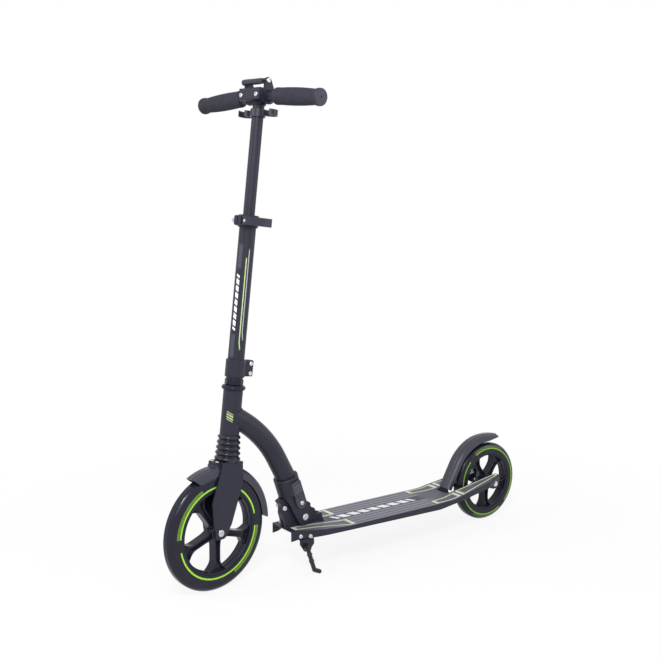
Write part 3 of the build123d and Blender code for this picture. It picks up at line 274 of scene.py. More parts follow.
# closed cell foam of the grips: matt, finely pored
foam = {
    "dark": "#26272f",
    "light": "#3d3e49",
    "pore": 0.9 * mm,  # cells are about 0.3 mm, drawn coarser to show
    "poreShare": 0.6,
    "cloud": 14 * mm,
    "depth": 0.1 * mm,
    "smooth": 0.7,
    "rough": 0.84,
}


def foamPaint(tree, place):
    cells = add(tree, "ShaderNodeTexVoronoi", {"Vector": place, "Scale": 1 / foam["pore"]})
    cloud = add(tree, "ShaderNodeTexNoise", {"Vector": place, "Scale": 1 / foam["cloud"]})
    pores = add(tree, "ShaderNodeMapRange", {0: cells, 1: 0.0, 2: foam["poreShare"]})
    shade = add(tree, "ShaderNodeMath", {0: pores, 1: cloud}, operation="MULTIPLY")
    sides = {0: shade, 6: linear(foam["dark"]), 7: linear(foam["light"])}
    limits = {0: cloud, 1: noiseLow, 2: noiseHigh, 3: foam["smooth"], 4: foam["rough"]}
    bumps = {"Height": pores, "Distance": foam["depth"], "Strength": 1.0}
    return {
        "Base Color": add(tree, "ShaderNodeMix", sides, out=2, data_type="RGBA"),
        "Roughness": add(tree, "ShaderNodeMapRange", limits),
        "Normal": add(tree, "ShaderNodeBump", bumps),
    }


gripFoam = finish("closed_cell_foam", foamPaint, IOR=1.45, Specular_IOR_Level=0.2)

# cast polyurethane: a smooth dark sidewall that streaks the light, with lime ink rings
# and thin lines beside them
cast = {
    "dark": "#1a1b27",
    "light": "#20212e",
    "edgeHighlight": "#2c2d3d",
    "edgeHighlightShare": 0.2,
    "cloud": 25 * mm,
    "grain": 6 * mm,
    "depth": 0.01 * mm,
    "edge": 0.8 * mm,
    "smooth": 0.1,
    "rough": 0.15,
}
frontRings = {
    "lime": "#9bd33a",
    "ring": 89.8 * mm,
    "width": 3.3 * mm,
    "gap": 8.0,  # degrees, as turn and lineArc are
    "turn": -10.0,
    "endFade": 0.01,  # radians
    "lines": 3,
    "lineFrom": 0.9,  # first line's distance from the ring, in steps
    "lineStep": 2.1 * mm,
    "lineWidth": 0.8 * mm,
    "lineInk": 0.75,
    "lineArc": 62.0,
}
rearRings = dict(frontRings, lime="#7fae38", ring=78.0 * mm, width=2.6 * mm, turn=52.0)
rearRings.update(lineStep=1.6 * mm, lineWidth=0.6 * mm, lineInk=0.55)


def tyrePaint(hub, axle, ahead, rings):
    up = ahead.cross(axle)

    def paint(tree, place):
        sockets = mottled(tree, place, cast)
        forward = along(tree, place, hub, ahead)
        height = along(tree, place, hub, up)
        flat = add(tree, "ShaderNodeCombineXYZ", {0: forward, 1: height})
        radius = add(tree, "ShaderNodeVectorMath", {0: flat}, out="Value", operation="LENGTH")
        angle = add(tree, "ShaderNodeMath", {0: height, 1: forward}, operation="ARCTAN2")
        turn = math.radians(rings["turn"])
        angle = add(tree, "ShaderNodeMath", {0: angle, 1: turn}, operation="SUBTRACT")
        # the angle wraps twice round the wheel, so both gaps and both groups of lines repeat
        half = add(tree, "ShaderNodeMath", {0: angle, 1: math.pi, 2: 0.0}, operation="WRAP")
        gap = math.radians(rings["gap"])
        inRing = stripe(tree, half, math.pi / 2, math.pi - 2 * gap, rings["endFade"])
        mask = stripe(tree, radius, rings["ring"], rings["width"])
        mask = add(tree, "ShaderNodeMath", {0: mask, 1: inRing}, operation="MULTIPLY")
        lineArc = math.radians(rings["lineArc"])
        inLines = stripe(tree, half, gap + lineArc / 2, lineArc, rings["endFade"])
        for k in range(rings["lines"]):
            middle = rings["ring"] + rings["width"] / 2 + rings["lineStep"] * (k + rings["lineFrom"])
            line = stripe(tree, radius, middle, rings["lineWidth"])
            line = add(tree, "ShaderNodeMath", {0: line, 1: inLines}, operation="MULTIPLY")
            line = add(tree, "ShaderNodeMath", {0: line, 1: rings["lineInk"]}, operation="MULTIPLY")
            mask = add(tree, "ShaderNodeMath", {0: mask, 1: line}, operation="MAXIMUM")
        sockets["Base Color"] = printed(tree, sockets["Base Color"], [(rings["lime"], mask)])
        return sockets

    return paint


urethane = {"IOR": 1.52, "Specular_IOR_Level": 0.2}
frontPaint = tyrePaint(frontHub, stemLeft, stemAhead, frontRings)
frontTyre = finish("cast_polyurethane_front", frontPaint, **urethane)
rearPaint = tyrePaint(rearHub, worldLeft, worldAhead, rearRings)
rearTyre = finish("cast_polyurethane_rear", rearPaint, **urethane)

# screen print on the lower stem: two slender stripes, a row of plain bars and two hatched bands
stemPrint = {
    "radius": 15.9 * mm,
    "white": "#e8e8ea",
    "stripeWidth": 1.9 * mm,
    "stripeFade": 3 * mm,
    "bend": 0.16,
    "bendLength": 14 * mm,
    "frontAt": 12.0,  # degrees round from the front, for the bars and hatching
    "hatch": "#565862",
    "hatchSpans": ((333 * mm, 376 * mm), (500 * mm, 545 * mm)),
    "hatchPitch": 2.6 * mm,
    "hatchWidth": 9 * mm,
    "hatchFade": 4 * mm,
    "hatchSideFade": 1.5 * mm,
}
paleGreen = "#b9d08c"
# each stripe's ink, its place in degrees round from the front, and its span up the stem
stemStripes = (
    {"ink": paleGreen, "at": 60.0, "span": (348 * mm, 520 * mm)},
    {"ink": "#a9aab4", "at": 76.0, "span": (366 * mm, 536 * mm)},
)
stemBars = {
    "from": 386 * mm,
    "to": 490 * mm,
    "pitch": 13 * mm,
    "share": 0.74,
    "middle": math.radians(stemPrint["frontAt"]) * stemPrint["radius"],
    "height": 6.5 * mm,
    "slant": 0.6,
}


def stemPaint(tree, place):
    sockets = mottled(tree, place, powder)
    height = along(tree, place, stemFoot, stemUp)
    left = along(tree, place, stemFoot, stemLeft)
    ahead = along(tree, place, stemFoot, stemAhead)
    angle = add(tree, "ShaderNodeMath", {0: left, 1: ahead}, operation="ARCTAN2")
    around = add(tree, "ShaderNodeMath", {0: angle, 1: stemPrint["radius"]}, operation="MULTIPLY")
    prints = []
    for one in stemStripes:
        low, high = one["span"]
        # the stripe's lower end turns aside
        bendTop = low + stemPrint["bendLength"]
        below = add(tree, "ShaderNodeMath", {0: bendTop, 1: height}, operation="SUBTRACT")
        below = add(tree, "ShaderNodeMath", {0: below, 1: 0.0}, operation="MAXIMUM")
        bend = {0: below, 1: -stemPrint["bend"], 2: around}
        bent = add(tree, "ShaderNodeMath", bend, operation="MULTIPLY_ADD")
        middle = math.radians(one["at"]) * stemPrint["radius"]
        mask = stripe(tree, bent, middle, stemPrint["stripeWidth"])
        inSpan = stripe(tree, height, (low + high) / 2, high - low, stemPrint["stripeFade"])
        mask = add(tree, "ShaderNodeMath", {0: mask, 1: inSpan}, operation="MULTIPLY")
        prints.append((one["ink"], mask))
    slope = add(tree, "ShaderNodeMath", {0: height, 1: around}, operation="ADD")
    wave = add(tree, "ShaderNodeMath", {0: slope, 1: stemPrint["hatchPitch"] / 2}, operation="PINGPONG")
    lines = stripe(tree, wave, 0.0, stemPrint["hatchPitch"] / 2)
    front = math.radians(stemPrint["frontAt"]) * stemPrint["radius"]
    inWidth = stripe(tree, around, front, stemPrint["hatchWidth"], stemPrint["hatchSideFade"])
    lines = add(tree, "ShaderNodeMath", {0: lines, 1: inWidth}, operation="MULTIPLY")
    for low, high in stemPrint["hatchSpans"]:
        inSpan = stripe(tree, height, (low + high) / 2, high - low, stemPrint["hatchFade"])
        mask = add(tree, "ShaderNodeMath", {0: lines, 1: inSpan}, operation="MULTIPLY")
        prints.append((stemPrint["hatch"], mask))
    prints.append((stemPrint["white"], slantedBars(tree, height, around, stemBars)))
    sockets["Base Color"] = printed(tree, sockets["Base Color"], prints)
    return sockets


printedStem = finish("printed_powder_coat_stem", stemPaint, **coat)

# head tube: the same coat with three plain bars in pale green on its left front
headRadius = 18.7 * mm
headBars = {
    "from": 221 * mm,
    "to": 236 * mm,
    "pitch": 5 * mm,
    "share": 0.5,
    "middle": 17 * mm,
    "height": 13 * mm,
    "slant": 0.5,
}


def headPaint(tree, place):
    sockets = mottled(tree, place, powder)
    height = along(tree, place, stemFoot, stemUp)
    ahead = along(tree, place, stemFoot, headAhead)
    left = along(tree, place, stemFoot, worldLeft)
    angle = add(tree, "ShaderNodeMath", {0: left, 1: ahead}, operation="ARCTAN2")
    around = add(tree, "ShaderNodeMath", {0: angle, 1: headRadius}, operation="MULTIPLY")
    mask = slantedBars(tree, height, around, headBars)
    sockets["Base Color"] = printed(tree, sockets["Base Color"], [(paleGreen, mask)])
    return sockets


printedHead = finish("printed_powder_coat_neck", headPaint, **coat)

# printed rubber tape: dark grey, pale lengthwise ribs, outlined panels in pale green and white
tape = {
    "dark": "#4c4d57",
    "light": "#5d5e69",
    "rib": "#7d7e88",
    "pitch": 12.4 * mm,
    "ribWidth": 8.0 * mm,
    "ribFade": 0.5 * mm,
    "ribFrom": -185 * mm,
    "ribTo": 92 * mm,
    "ribEndFade": 20 * mm,
    "ribRise": 0.25 * mm,
    "band": "#3f4049",
    "bandWidth": 27 * mm,
    "panelDark": "#50515a",
    "panelLight": "#6b6c77",
    "green": "#b5cf83",
    "white": "#e2e2e6",
    "fieldFade": 0.3 * mm,
    "line": 1.7 * mm,
    "endBar": 2.4,  # how many times thicker the lines are at a panel's ends
    "weave": 2.4 * mm,
    "grit": 0.8 * mm,
    "smooth": 0.5,
    "rough": 0.66,
}
# each panel's rear and front end, and its inner and outer edge as distances from the deck's middle
# at those two ends
panels = (
    {"rear": 48 * mm, "front": 182 * mm, "inner": (21 * mm, 14.5 * mm), "outer": (55 * mm, 31 * mm)},
    {"rear": -250 * mm, "front": -176 * mm, "inner": (26 * mm, 36 * mm), "outer": (53 * mm, 55 * mm)},
    {"rear": -384 * mm, "front": -256 * mm, "inner": (22.5 * mm, 24 * mm), "outer": (33 * mm, 53 * mm)},
)
deckBars = {
    "from": -150 * mm,
    "to": 66 * mm,
    "pitch": 27 * mm,
    "share": 0.74,
    "middle": 0.0,
    "height": 18 * mm,
    "slant": 0.5,
}


def panelDepth(tree, x, aside, panel):
    # how far a point lies inside a panel's four edges
    run = panel["front"] - panel["rear"]
    middle = (panel["front"] + panel["rear"]) / 2
    fromMiddle = add(tree, "ShaderNodeMath", {0: x, 1: middle}, operation="SUBTRACT")
    fromMiddle = add(tree, "ShaderNodeMath", {0: fromMiddle}, operation="ABSOLUTE")
    fromEnd = add(tree, "ShaderNodeMath", {0: run / 2, 1: fromMiddle}, operation="SUBTRACT")
    depth = add(tree, "ShaderNodeMath", {0: fromEnd, 1: tape["endBar"]}, operation="DIVIDE")
    for edge, sign in (("inner", 1.0), ("outer", -1.0)):
        rearAt, frontAt = panel[edge]
        at = add(tree, "ShaderNodeMath", {0: x, 1: panel["rear"]}, operation="SUBTRACT")
        line = {0: at, 1: (frontAt - rearAt) / run, 2: rearAt}
        at = add(tree, "ShaderNodeMath", line, operation="MULTIPLY_ADD")
        inside = add(tree, "ShaderNodeMath", {0: aside, 1: at}, operation="SUBTRACT")
        inside = add(tree, "ShaderNodeMath", {0: inside, 1: sign}, operation="MULTIPLY")
        depth = add(tree, "ShaderNodeMath", {0: depth, 1: inside}, operation="MINIMUM")
    return depth


def tapePaint(tree, place):
    x = along(tree, place, (0, 0, 0), worldAhead)
    y = along(tree, place, (0, 0, 0), worldLeft)
    aside = add(tree, "ShaderNodeMath", {0: y}, operation="ABSOLUTE")
    grit = add(tree, "ShaderNodeTexNoise", {"Vector": place, "Scale": 1 / tape["grit"]})
    sides = {0: grit, 6: linear(tape["dark"]), 7: linear(tape["light"])}
    colour = add(tree, "ShaderNodeMix", sides, out=2, data_type="RGBA")
    # pale ribs run lengthwise over the middle of the deck and fade out at both ends
    wave = add(tree, "ShaderNodeMath", {0: aside, 1: tape["pitch"] / 2}, operation="PINGPONG")
    ribs = stripe(tree, wave, tape["pitch"] / 2, tape["ribWidth"], tape["ribFade"])
    middle = (tape["ribFrom"] + tape["ribTo"]) / 2
    inRibs = stripe(tree, x, middle, tape["ribTo"] - tape["ribFrom"], tape["ribEndFade"])
    ribs = add(tree, "ShaderNodeMath", {0: ribs, 1: inRibs}, operation="MULTIPLY")
    # a plain darker band under the row of bars
    inBand = stripe(tree, y, 0.0, tape["bandWidth"], tape["ribFade"])
    inBand = add(tree, "ShaderNodeMath", {0: inBand, 1: inRibs}, operation="MULTIPLY")
    prints = [(tape["rib"], ribs), (tape["band"], inBand)]
    # panels: a field with a fine slanted weave, and a white and a green line from its edge inwards
    slope = add(tree, "ShaderNodeMath", {0: x, 1: y}, operation="ADD")
    weave = add(tree, "ShaderNodeMath", {0: slope, 1: tape["weave"] / 2}, operation="PINGPONG")
    weave = stripe(tree, weave, 0.0, tape["weave"] / 2)
    for panel in panels:
        depth = panelDepth(tree, x, aside, panel)
        field = add(tree, "ShaderNodeMapRange", {0: depth, 1: 0.0, 2: tape["fieldFade"]})
        woven = add(tree, "ShaderNodeMath", {0: field, 1: weave}, operation="MULTIPLY")
        prints += [(tape["panelDark"], field), (tape["panelLight"], woven)]
        for k, ink in enumerate(("white", "green")):
            prints.append((tape[ink], stripe(tree, depth, tape["line"] * (k + 0.5), tape["line"])))
    prints.append((tape["white"], slantedBars(tree, x, y, deckBars)))
    limits = {0: grit, 1: noiseLow, 2: noiseHigh, 3: tape["smooth"], 4: tape["rough"]}
    bumps = {"Height": ribs, "Distance": tape["ribRise"], "Strength": 1.0}
    return {
        "Base Color": printed(tree, colour, prints),
        "Roughness": add(tree, "ShaderNodeMapRange", limits),
        "Normal": add(tree, "ShaderNodeBump", bumps),
    }


deckTape = finish("printed_rubber_tape", tapePaint, IOR=1.5, Specular_IOR_Level=0.3)

# every CAD node takes its finish here
finishes = {
    powderCoat: (
        "deck_platform hinge_plates fold_knuckle fork stem_clamp height_clamp upper_stem_tube bar_head "
        "kickstand_bracket steerer_tube left_bar right_bar"
    ),
    printedStem: "lower_stem",
    printedHead: "neck_frame",
    mouldedPlastic: "height_lever handle_clip bar_lever stem_bush left_end_cap right_end_cap",
    fenderPlastic: "front_fender brake_fender latch_slider",
    wheelNylon: "front_rim rear_rim headset_cover headset_locknut",
    frontTyre: "front_tyre",
    rearTyre: "rear_tyre",
    deckTape: "grip_tape",
    bootRubber: "bellows",
    gripFoam: "left_grip right_grip",
    blackSteel: "kickstand_leg kickstand_pin brake_spring height_lever_pin suspension_spring",
    zincSteel: (
        "fold_pivot_bolt hinge_cross_bolt kickstand_screws rear_axle_bolt rear_axle_nut rear_axle_spacers "
        "brake_pin headset_bearings latch_pin stem_clamp_bolts height_clamp_bolt bar_head_bolts "
        "bar_lever_bolt fender_screws front_axle_bolt front_axle_nut front_axle_spacers front_bearings "
        "rear_bearings front_hub_spacer rear_hub_spacer"
    ),
}
for material, names in finishes.items():
    for name in names.split():
        slots = frame["nodes"][name].data.materials
        slots.clear()
        slots.append(material)
print("finishes set")

sharpAngle = 38.0  # degrees, edges that turn less are shaded smooth


def piece(name, mesh, material, body):
    # a finished bmesh becomes a piece that rides on a body
    bmesh.ops.recalc_face_normals(mesh, faces=mesh.faces)
    for face in mesh.faces:
        face.smooth = True
    data = bpy.data.meshes.new(name)
    mesh.to_mesh(data)
    mesh.free()
    data.set_sharp_from_angle(angle=math.radians(sharpAngle))
    data.materials.append(material)
    made = bpy.data.objects.new(name, data)
    bpy.context.scene.collection.objects.link(made)
    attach(made, body)
    return made


def ringsToMesh(rings, closed):
    # joins rings of points side by side, closed into a loop or capped at both ends
    mesh = bmesh.new()
    loops = [[mesh.verts.new(spot) for spot in ring] for ring in rings]
    pairs = list(zip(loops, loops[1:]))
    if closed:
        pairs.append((loops[-1], loops[0]))
    else:
        mesh.faces.new(loops[0])
        mesh.faces.new(loops[-1])
    for a, b in pairs:
        for k in range(len(a)):
            n = (k + 1) % len(a)
            mesh.faces.new((a[k], a[n], b[n], b[k]))
    return mesh


def lathe(profile, foot, axis, steps):
    # closed outline of (height, radius) points turned about an axis
    across = axis.orthogonal().normalized()
    other = axis.cross(across)
    turns = [2 * math.pi * k / steps for k in range(steps)]
    spokes = [across * math.cos(t) + other * math.sin(t) for t in turns]
    return ringsToMesh([[foot + axis * h + s * r for s in spokes] for h, r in profile], True)


def tube(path, radii, sides):
    # round bar along a path, its radius given at each point
    rings = []
    side = None
    for k, spot in enumerate(path):
        ahead = (path[min(k + 1, len(path) - 1)] - path[max(k - 1, 0)]).normalized()
        side = ahead.orthogonal() if side is None else side - ahead * side.dot(ahead)
        side.normalize()
        other = ahead.cross(side)
        turns = [2 * math.pi * n / sides for n in range(sides)]
        rings.append([spot + (side * math.cos(t) + other * math.sin(t)) * radii[k] for t in turns])
    return ringsToMesh(rings, False)


def outlineOf(node, foot, axis):
    # a turned node's points as sorted (height, radius) pairs
    spots = [v.co - foot for v in frame["nodes"][node].data.vertices]
    return sorted({(round(s.dot(axis), 6), round((s - axis * s.dot(axis)).length, 6)) for s in spots})


def centreOf(node, axis):
    # middle of a turned node's extent along and across its axis
    across = axis.orthogonal().normalized()
    middle = Vector()
    for way in (axis, across, axis.cross(across)):
        reach = [v.co.dot(way) for v in frame["nodes"][node].data.vertices]
        middle += way * (min(reach) + max(reach)) / 2
    return middle


# rubber boot with rounded folds, widening downwards
boot = {
    "folds": 5,
    "topShare": 0.85,
    "groove": 3.6 * mm,
    "fullness": 0.7,  # under 1 swells the folds and narrows the grooves
    "wall": 1.4 * mm,
    "steps": 12,
    "sides": 64,
}
outline = outlineOf("bellows", stemFoot, stemUp)
bootLow, bootHigh = outline[0][0], outline[-1][0]
bootWide = max(r for h, r in outline)
profile = []
count = boot["folds"] * boot["steps"]
for k in range(count + 1):
    share = k / count
    crest = bootWide * (1 - share * (1 - boot["topShare"]))
    fold = 0.5 - 0.5 * math.cos(2 * math.pi * boot["folds"] * share)
    radius = crest - boot["groove"] * (1 - fold ** boot["fullness"])
    profile.append((bootLow + (bootHigh - bootLow) * share, radius))
inside = [(h, r - boot["wall"]) for h, r in reversed(profile)]
mesh = lathe(profile + inside, stemFoot, stemUp, boot["sides"])
bootPiece = piece("rubber_boot", mesh, bootRubber, "fork")
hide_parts("bellows")
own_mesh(bootPiece)
print("boot made")

# compression spring inside the boot
spring = {"turns": 6, "wire": 3.2 * mm, "stepsPerTurn": 24, "sides": 10}
outline = outlineOf("suspension_spring", stemFoot, stemUp)
springLow = outline[0][0] + spring["wire"] / 2
springHigh = outline[-1][0] - spring["wire"] / 2
springRadius = max(r for h, r in outline) - spring["wire"] / 2
count = spring["turns"] * spring["stepsPerTurn"]
path = []
for k in range(count + 1):
    turn = 2 * math.pi * k / spring["stepsPerTurn"]
    height = springLow + (springHigh - springLow) * k / count
    spoke = stemAhead * math.cos(turn) + stemLeft * math.sin(turn)
    path.append(stemFoot + stemUp * height + spoke * springRadius)
mesh = tube(path, [spring["wire"] / 2] * len(path), spring["sides"])
springPiece = piece("coil_spring", mesh, blackSteel, "fork")
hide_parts("suspension_spring")
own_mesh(springPiece)
print("spring made")

# foam grips: the barrel of the solid with fine rings pressed into it
gripRings = {
    "pitch": 3.0 * mm,
    "depth": 0.4 * mm,
    "from": 0.2,  # shares of the grip's length
    "to": 0.78,
    "clear": 0.05 * mm,
    "steps": 6,
    "sides": 72,
}
for hand in ("left", "right"):
    node = hand + "_grip"
    axis = Vector(joints[hand + "_handle_pull"]["axis"])
    foot = centreOf(node, axis)
    outline = outlineOf(node, foot, axis)
    low, high = outline[0][0], outline[-1][0]
    bore = min(r for h, r in outline) + gripRings["clear"]
    skin = [(h, max(r for g, r in outline if g == h)) for h in sorted({h for h, r in outline})]
    barrelLow = low + (high - low) * gripRings["from"]
    barrelHigh = low + (high - low) * gripRings["to"]
    profile = [(low, bore)]
    for (h0, r0), (h1, r1) in zip(skin, skin[1:]):
        count = max(1, round((h1 - h0) / gripRings["pitch"] * gripRings["steps"]))
        for k in range(count):
            h = h0 + (h1 - h0) * k / count
            r = r0 + (r1 - r0) * k / count
            if barrelLow < h < barrelHigh:
                turn = 2 * math.pi * (h - barrelLow) / gripRings["pitch"]
                r -= gripRings["depth"] * (0.5 - 0.5 * math.cos(turn))
            profile.append((h, r))
    profile += [skin[-1], (high, bore)]
    mesh = lathe(profile, foot, axis, gripRings["sides"])
    gripPiece = piece(hand + "_foam_grip", mesh, gripFoam, hand + "_handle")
    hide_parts(node)
print("grips made")

# wheel cores: a barrel with a step in the middle, a hub,
# and five channelled spokes that flare into the barrel
core = {
    "spokes": 5,
    "wall": 4 * mm,
    "inset": 1 * mm,
    "step": 2.2 * mm,
    "stepHalf": 2 * mm,
    "hubRadius": 16 * mm,
    "hubEase": 1.5 * mm,
    "waist": 12.5 * mm,
    "root": 19 * mm,
    "flareShare": 0.5,
    "flareRun": 24 * mm,
    "depth": 18 * mm,
    "web": 7 * mm,
    "lip": 2.6 * mm,
    "slope": 1.2 * mm,
    "rings": 40,
    "sides": 120,
}


def spokeRings(hub, axle, out, start, end, flare):
    # sections along one spoke: a bar with a trough in both faces, wide at the hub and at the barrel
    side = axle.cross(out)
    deep, web, lip, slope = core["depth"] / 2, core["web"] / 2, core["lip"], core["slope"]
    rings = []
    for k in range(core["rings"] + 1):
        r = start + (end - start) * k / core["rings"]
        atRim = max(0.0, 1 - (end - r) / core["flareRun"]) ** 2
        atHub = max(0.0, 1 - (r - start) / core["flareRun"]) ** 2
        width = core["waist"] + (flare - core["waist"]) * atRim
        width += (core["root"] - core["waist"]) * atHub
        half = width / 2
        bottom = half - lip - slope
        section = [(half, -deep), (half, deep), (half - lip, deep)]
        section += [(bottom, web), (-bottom, web), (lip - half, deep)]
        section += [(-x, -z) for x, z in section]
        rings.append([hub + out * r + side * x + axle * z for x, z in section])
    return rings


def wheelCore(which, hub, axle, down):
    outline = outlineOf(which + "_rim", hub, axle)
    seat = max(r for h, r in outline)
    half = max(h for h, r in outline if r == seat)
    hubHalf = outline[-1][0]
    opening = seat - core["wall"]
    bearing = outlineOf(which + "_bearings", hub, axle)
    bearingOut = max(r for h, r in bearing)
    bearingIn = min(h for h, r in bearing if h > 0)
    bore = min(r for h, r in outline)
    ease = core["hubEase"]
    step, stepHalf = opening - core["step"], core["stepHalf"]
    barrel = [(-half, seat), (half, seat), (half, opening + core["inset"]), (half - core["inset"], opening)]
    barrel += [(stepHalf + core["inset"], opening), (stepHalf, step)]
    barrel += [(-stepHalf, step), (-stepHalf - core["inset"], opening)]
    barrel += [(core["inset"] - half, opening), (-half, opening + core["inset"])]
    ring = [(hubHalf, bearingOut), (hubHalf, core["hubRadius"] - ease), (hubHalf - ease, core["hubRadius"])]
    ring = ring + [(-h, r) for h, r in reversed(ring)]
    ring += [(-bearingIn, bearingOut), (-bearingIn, bore), (bearingIn, bore), (bearingIn, bearingOut)]
    parts = [lathe(one, hub, axle, core["sides"]) for one in (barrel, ring)]
    flare = 2 * math.pi * opening / core["spokes"] * core["flareShare"]
    across = axle.cross(down)
    start = bearingOut + core["inset"]
    end = opening + core["inset"]
    for k in range(core["spokes"]):
        turn = 2 * math.pi * k / core["spokes"]
        out = down * math.cos(turn) + across * math.sin(turn)
        parts.append(ringsToMesh(spokeRings(hub, axle, out, start, end, flare), False))
    whole = bmesh.new()
    for part in parts:
        bmesh.ops.recalc_face_normals(part, faces=part.faces)
        data = bpy.data.meshes.new("part")
        part.to_mesh(data)
        part.free()
        whole.from_mesh(data)
        bpy.data.meshes.remove(data)
    made = piece(which + "_wheel_core", whole, wheelNylon, which + "_wheel")
    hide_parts(which + "_rim")


# one spoke of each wheel points straight down
tilt = stemUp.z
frontDown = -stemUp * tilt - stemAhead * math.sqrt(1 - tilt * tilt)
wheelCore("front", frontHub, stemLeft, frontDown)
wheelCore("rear", rearHub, worldLeft, worldDown)
print("wheel cores made")

# weld beads: a rippled fillet above and below the neck's joint with the head tube,
# and along each hinge plate's foot
weld = {"radius": 1.7 * mm, "ripple": 0.22 * mm, "pitch": 2.2 * mm, "step": 0.55 * mm, "sides": 10}
# angle is the neck's fall and reach half of each bead's arc, both in degrees
neck = {"height": 222 * mm, "angle": 34.3, "radius": 20.1 * mm, "reach": 64.0, "points": 24}
# above is the height that the search for the deck's face starts from
plateFoot = {"points": 48, "frontInset": 3 * mm, "above": 0.3}


def bead(name, path, body):
    # evenly spaced points along the path, each swelling and shrinking with the welder's steps
    spots = [path[0]]
    for a, b in zip(path, path[1:]):
        count = max(1, round((b - a).length / weld["step"]))
        spots += [a.lerp(b, (k + 1) / count) for k in range(count)]
    radii = []
    for k in range(len(spots)):
        swell = math.cos(2 * math.pi * k * weld["step"] / weld["pitch"])
        radii.append(weld["radius"] + weld["ripple"] * swell)
    piece(name, tube(spots, radii, weld["sides"]), powderCoat, body)


neckSlope = math.radians(neck["angle"])
neckAway = Vector((-math.cos(neckSlope), 0, -math.sin(neckSlope)))
neckUp = worldLeft.cross(neckAway)
neckFoot = stemFoot + stemUp * neck["height"]
flatAway = neckAway - stemUp * neckAway.dot(stemUp)
for name, middle in (("upper", 0.0), ("lower", 180.0)):
    path = []
    for k in range(neck["points"] + 1):
        turn = math.radians(middle + neck["reach"] * (2 * k / neck["points"] - 1))
        start = (neckUp * math.cos(turn) + worldLeft * math.sin(turn)) * neck["radius"]
        # where the line along the neck's wall leaves the head tube
        flatStart = start - stemUp * start.dot(stemUp)
        a = flatAway.length_squared
        b = flatStart.dot(flatAway)
        c = flatStart.length_squared - headRadius**2
        path.append(neckFoot + start + neckAway * ((-b + math.sqrt(b * b - a * c)) / a))
    bead(name + "_neck_weld", path, "neck")
deckMesh = frame["nodes"]["deck_platform"].data
deckFaces = [list(face.vertices) for face in deckMesh.polygons]
deckTree = BVHTree.FromPolygons([v.co for v in deckMesh.vertices], deckFaces)
plateLow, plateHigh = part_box("hinge_plates")
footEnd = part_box("deck_platform")[1][0] - plateFoot["frontInset"]
for name, side in (("left", plateHigh[1]), ("right", plateLow[1])):
    path = []
    for k in range(plateFoot["points"] + 1):
        x = plateLow[0] + (footEnd - plateLow[0]) * k / plateFoot["points"]
        path.append(deckTree.ray_cast(Vector((x, side, plateFoot["above"])), worldDown)[0])
    bead(name + "_hinge_weld", path, "deck")
print("welds made")

# rounded ribs for the thumb on both latch plates, between the pin's head and the plate's top:
# the same polypropylene, painted paler all over as a highlight on the ribs, and smoother by use
# painted highlight: a paler copy of the polished look, so that the ribs read as lit
ribHighlightLook = dict(polished, dark="#4d4e5e", light="#5a5b6c", edgeHighlight="#7a7c90")
ribHighlightLook.update(smooth=0.18, rough=0.24)
ribHighlightPlastic = mottledFinish("polypropylene_painted_highlight", ribHighlightLook, **bright)
ribs = {
    "heights": (15 * mm, 19 * mm, 26 * mm, 32 * mm, 38 * mm),  # up from the latch pin
    "radius": 1.3 * mm,
    "half": 8.5 * mm,
    "sides": 12,
}
latchUp = Vector(joints["latch_lift"]["axis"])
pinLow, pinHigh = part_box("latch_pin")
pinMiddle = (Vector(pinLow) + Vector(pinHigh)) / 2
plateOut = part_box("latch_slider")[1][1] - ribs["radius"]
reach = worldLeft.cross(latchUp) * ribs["half"]
for name, side in (("left", plateOut), ("right", -plateOut)):
    for k, height in enumerate(ribs["heights"]):
        middle = pinMiddle + latchUp * height + worldLeft * side
        mesh = tube([middle - reach, middle + reach], [ribs["radius"]] * 2, ribs["sides"])
        piece(name + "_latch_rib_" + str(k + 1), mesh, ribHighlightPlastic, "fold_latch")
print("latch ribs made")

# camera at the photograph's viewing angle
shot = {
    "place": (1.2230, 1.5726, 0.7367),
    "target": (0.07373, 0.0, 0.4792),
    "lens": 52.967,
    "sensor": 36.0,
    "clipStart": 0.05,
}
cameraData = bpy.data.cameras.new("camera")
cameraData.lens = shot["lens"]
cameraData.sensor_width = shot["sensor"]
cameraData.clip_start = shot["clipStart"]
camera = bpy.data.objects.new("camera", cameraData)
bpy.context.scene.collection.objects.link(camera)
camera.location = shot["place"]
gaze = Vector(shot["target"]) - Vector(shot["place"])
camera.rotation_euler = gaze.to_track_quat("-Z", "Y").to_euler()
bpy.context.scene.camera = camera


def seenRays(tree):
    # 1 for what the eye sees, straight on, in gloss or through glass, and 0 for what only lights
    rays = add(tree, "ShaderNodeLightPath").node.outputs
    seen = {0: rays["Is Camera Ray"], 1: rays["Is Glossy Ray"]}
    seen = {0: add(tree, "ShaderNodeMath", seen, operation="MAXIMUM"), 1: rays["Is Transmission Ray"]}
    return add(tree, "ShaderNodeMath", seen, operation="MAXIMUM")


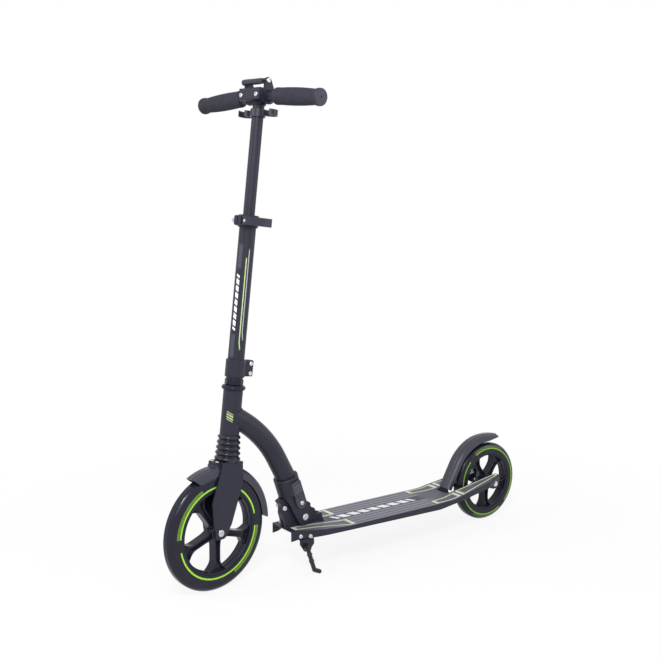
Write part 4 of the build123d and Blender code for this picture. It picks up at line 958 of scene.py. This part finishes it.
# pale floor that keeps the shadow under the scooter and fades to the white around it:
# lift is the share of plain white near the scooter
floor = {"size": 30.0, "colour": "#f2f2f3", "lift": 0.86, "fadeFrom": 0.45, "fadeTo": 1.1}
floorData = bpy.data.meshes.new("floor")
half = floor["size"] / 2
corners = [(-half, -half, 0), (half, -half, 0), (half, half, 0), (-half, half, 0)]
floorData.from_pydata(corners, [], [(0, 1, 2, 3)])
floorPiece = bpy.data.objects.new("floor", floorData)
bpy.context.scene.collection.objects.link(floorPiece)
floorMaterial = bpy.data.materials.new("matt_paper")
floorMaterial.use_nodes = True
tree = floorMaterial.node_tree
tree.nodes.clear()
spot = add(tree, "ShaderNodeTexCoord", out="Object")
away = add(tree, "ShaderNodeVectorMath", {0: spot}, out="Value", operation="LENGTH")
fade = {0: away, 1: floor["fadeFrom"], 2: floor["fadeTo"], 3: floor["lift"], 4: 1.0}
lift = add(tree, "ShaderNodeMapRange", fade, interpolation_type="SMOOTHSTEP")
lift = add(tree, "ShaderNodeMath", {0: seenRays(tree), 1: lift}, operation="MULTIPLY")
paper = add(tree, "ShaderNodeBsdfDiffuse", {"Color": linear(floor["colour"])})
white = add(tree, "ShaderNodeEmission", {"Color": linear("#ffffff"), "Strength": 1.0})
surface = add(tree, "ShaderNodeMixShader", {0: lift, 1: paper, 2: white})
add(tree, "ShaderNodeOutputMaterial", {"Surface": surface})
floorData.materials.append(floorMaterial)

# white surroundings for the eye and for reflections, a plain soft level for the light
surround = {"light": 0.55, "seen": 1.0}
world = bpy.data.worlds.new("studio")
bpy.context.scene.world = world
world.use_nodes = True
tree = world.node_tree
tree.nodes.clear()
limits = {0: seenRays(tree), 3: surround["light"], 4: surround["seen"]}
level = add(tree, "ShaderNodeMapRange", limits)
sky = add(tree, "ShaderNodeBackground", {"Color": linear("#ffffff"), "Strength": level})
add(tree, "ShaderNodeOutputWorld", {"Surface": sky})

# soft boxes: a broad one over the camera's shoulder, one ahead of the front wheel,
# a small bright one that draws the streaks on the tyres, and a low fill
boxes = {
    "key": {"place": (1.6, 2.2, 2.2), "size": 1.8, "watts": 32},
    "ahead": {"place": (2.2, -0.6, 1.6), "size": 1.0, "watts": 14},
    "top": {"place": (1.35, 1.3, 1.95), "size": 0.5, "watts": 24},
    "fill": {"place": (-1.6, 1.8, 1.0), "size": 1.4, "watts": 10},
}
lampTarget = Vector((0.0, 0.0, 0.35))
for name, one in boxes.items():
    lampData = bpy.data.lights.new(name, "AREA")
    lampData.size = one["size"]
    lampData.energy = one["watts"]
    lamp = bpy.data.objects.new(name, lampData)
    bpy.context.scene.collection.objects.link(lamp)
    lamp.location = one["place"]
    aim = lampTarget - Vector(one["place"])
    lamp.rotation_euler = aim.to_track_quat("-Z", "Y").to_euler()
bpy.context.scene.view_settings.view_transform = "Standard"
print("camera, floor and lights set")

bpy.context.view_layer.update()
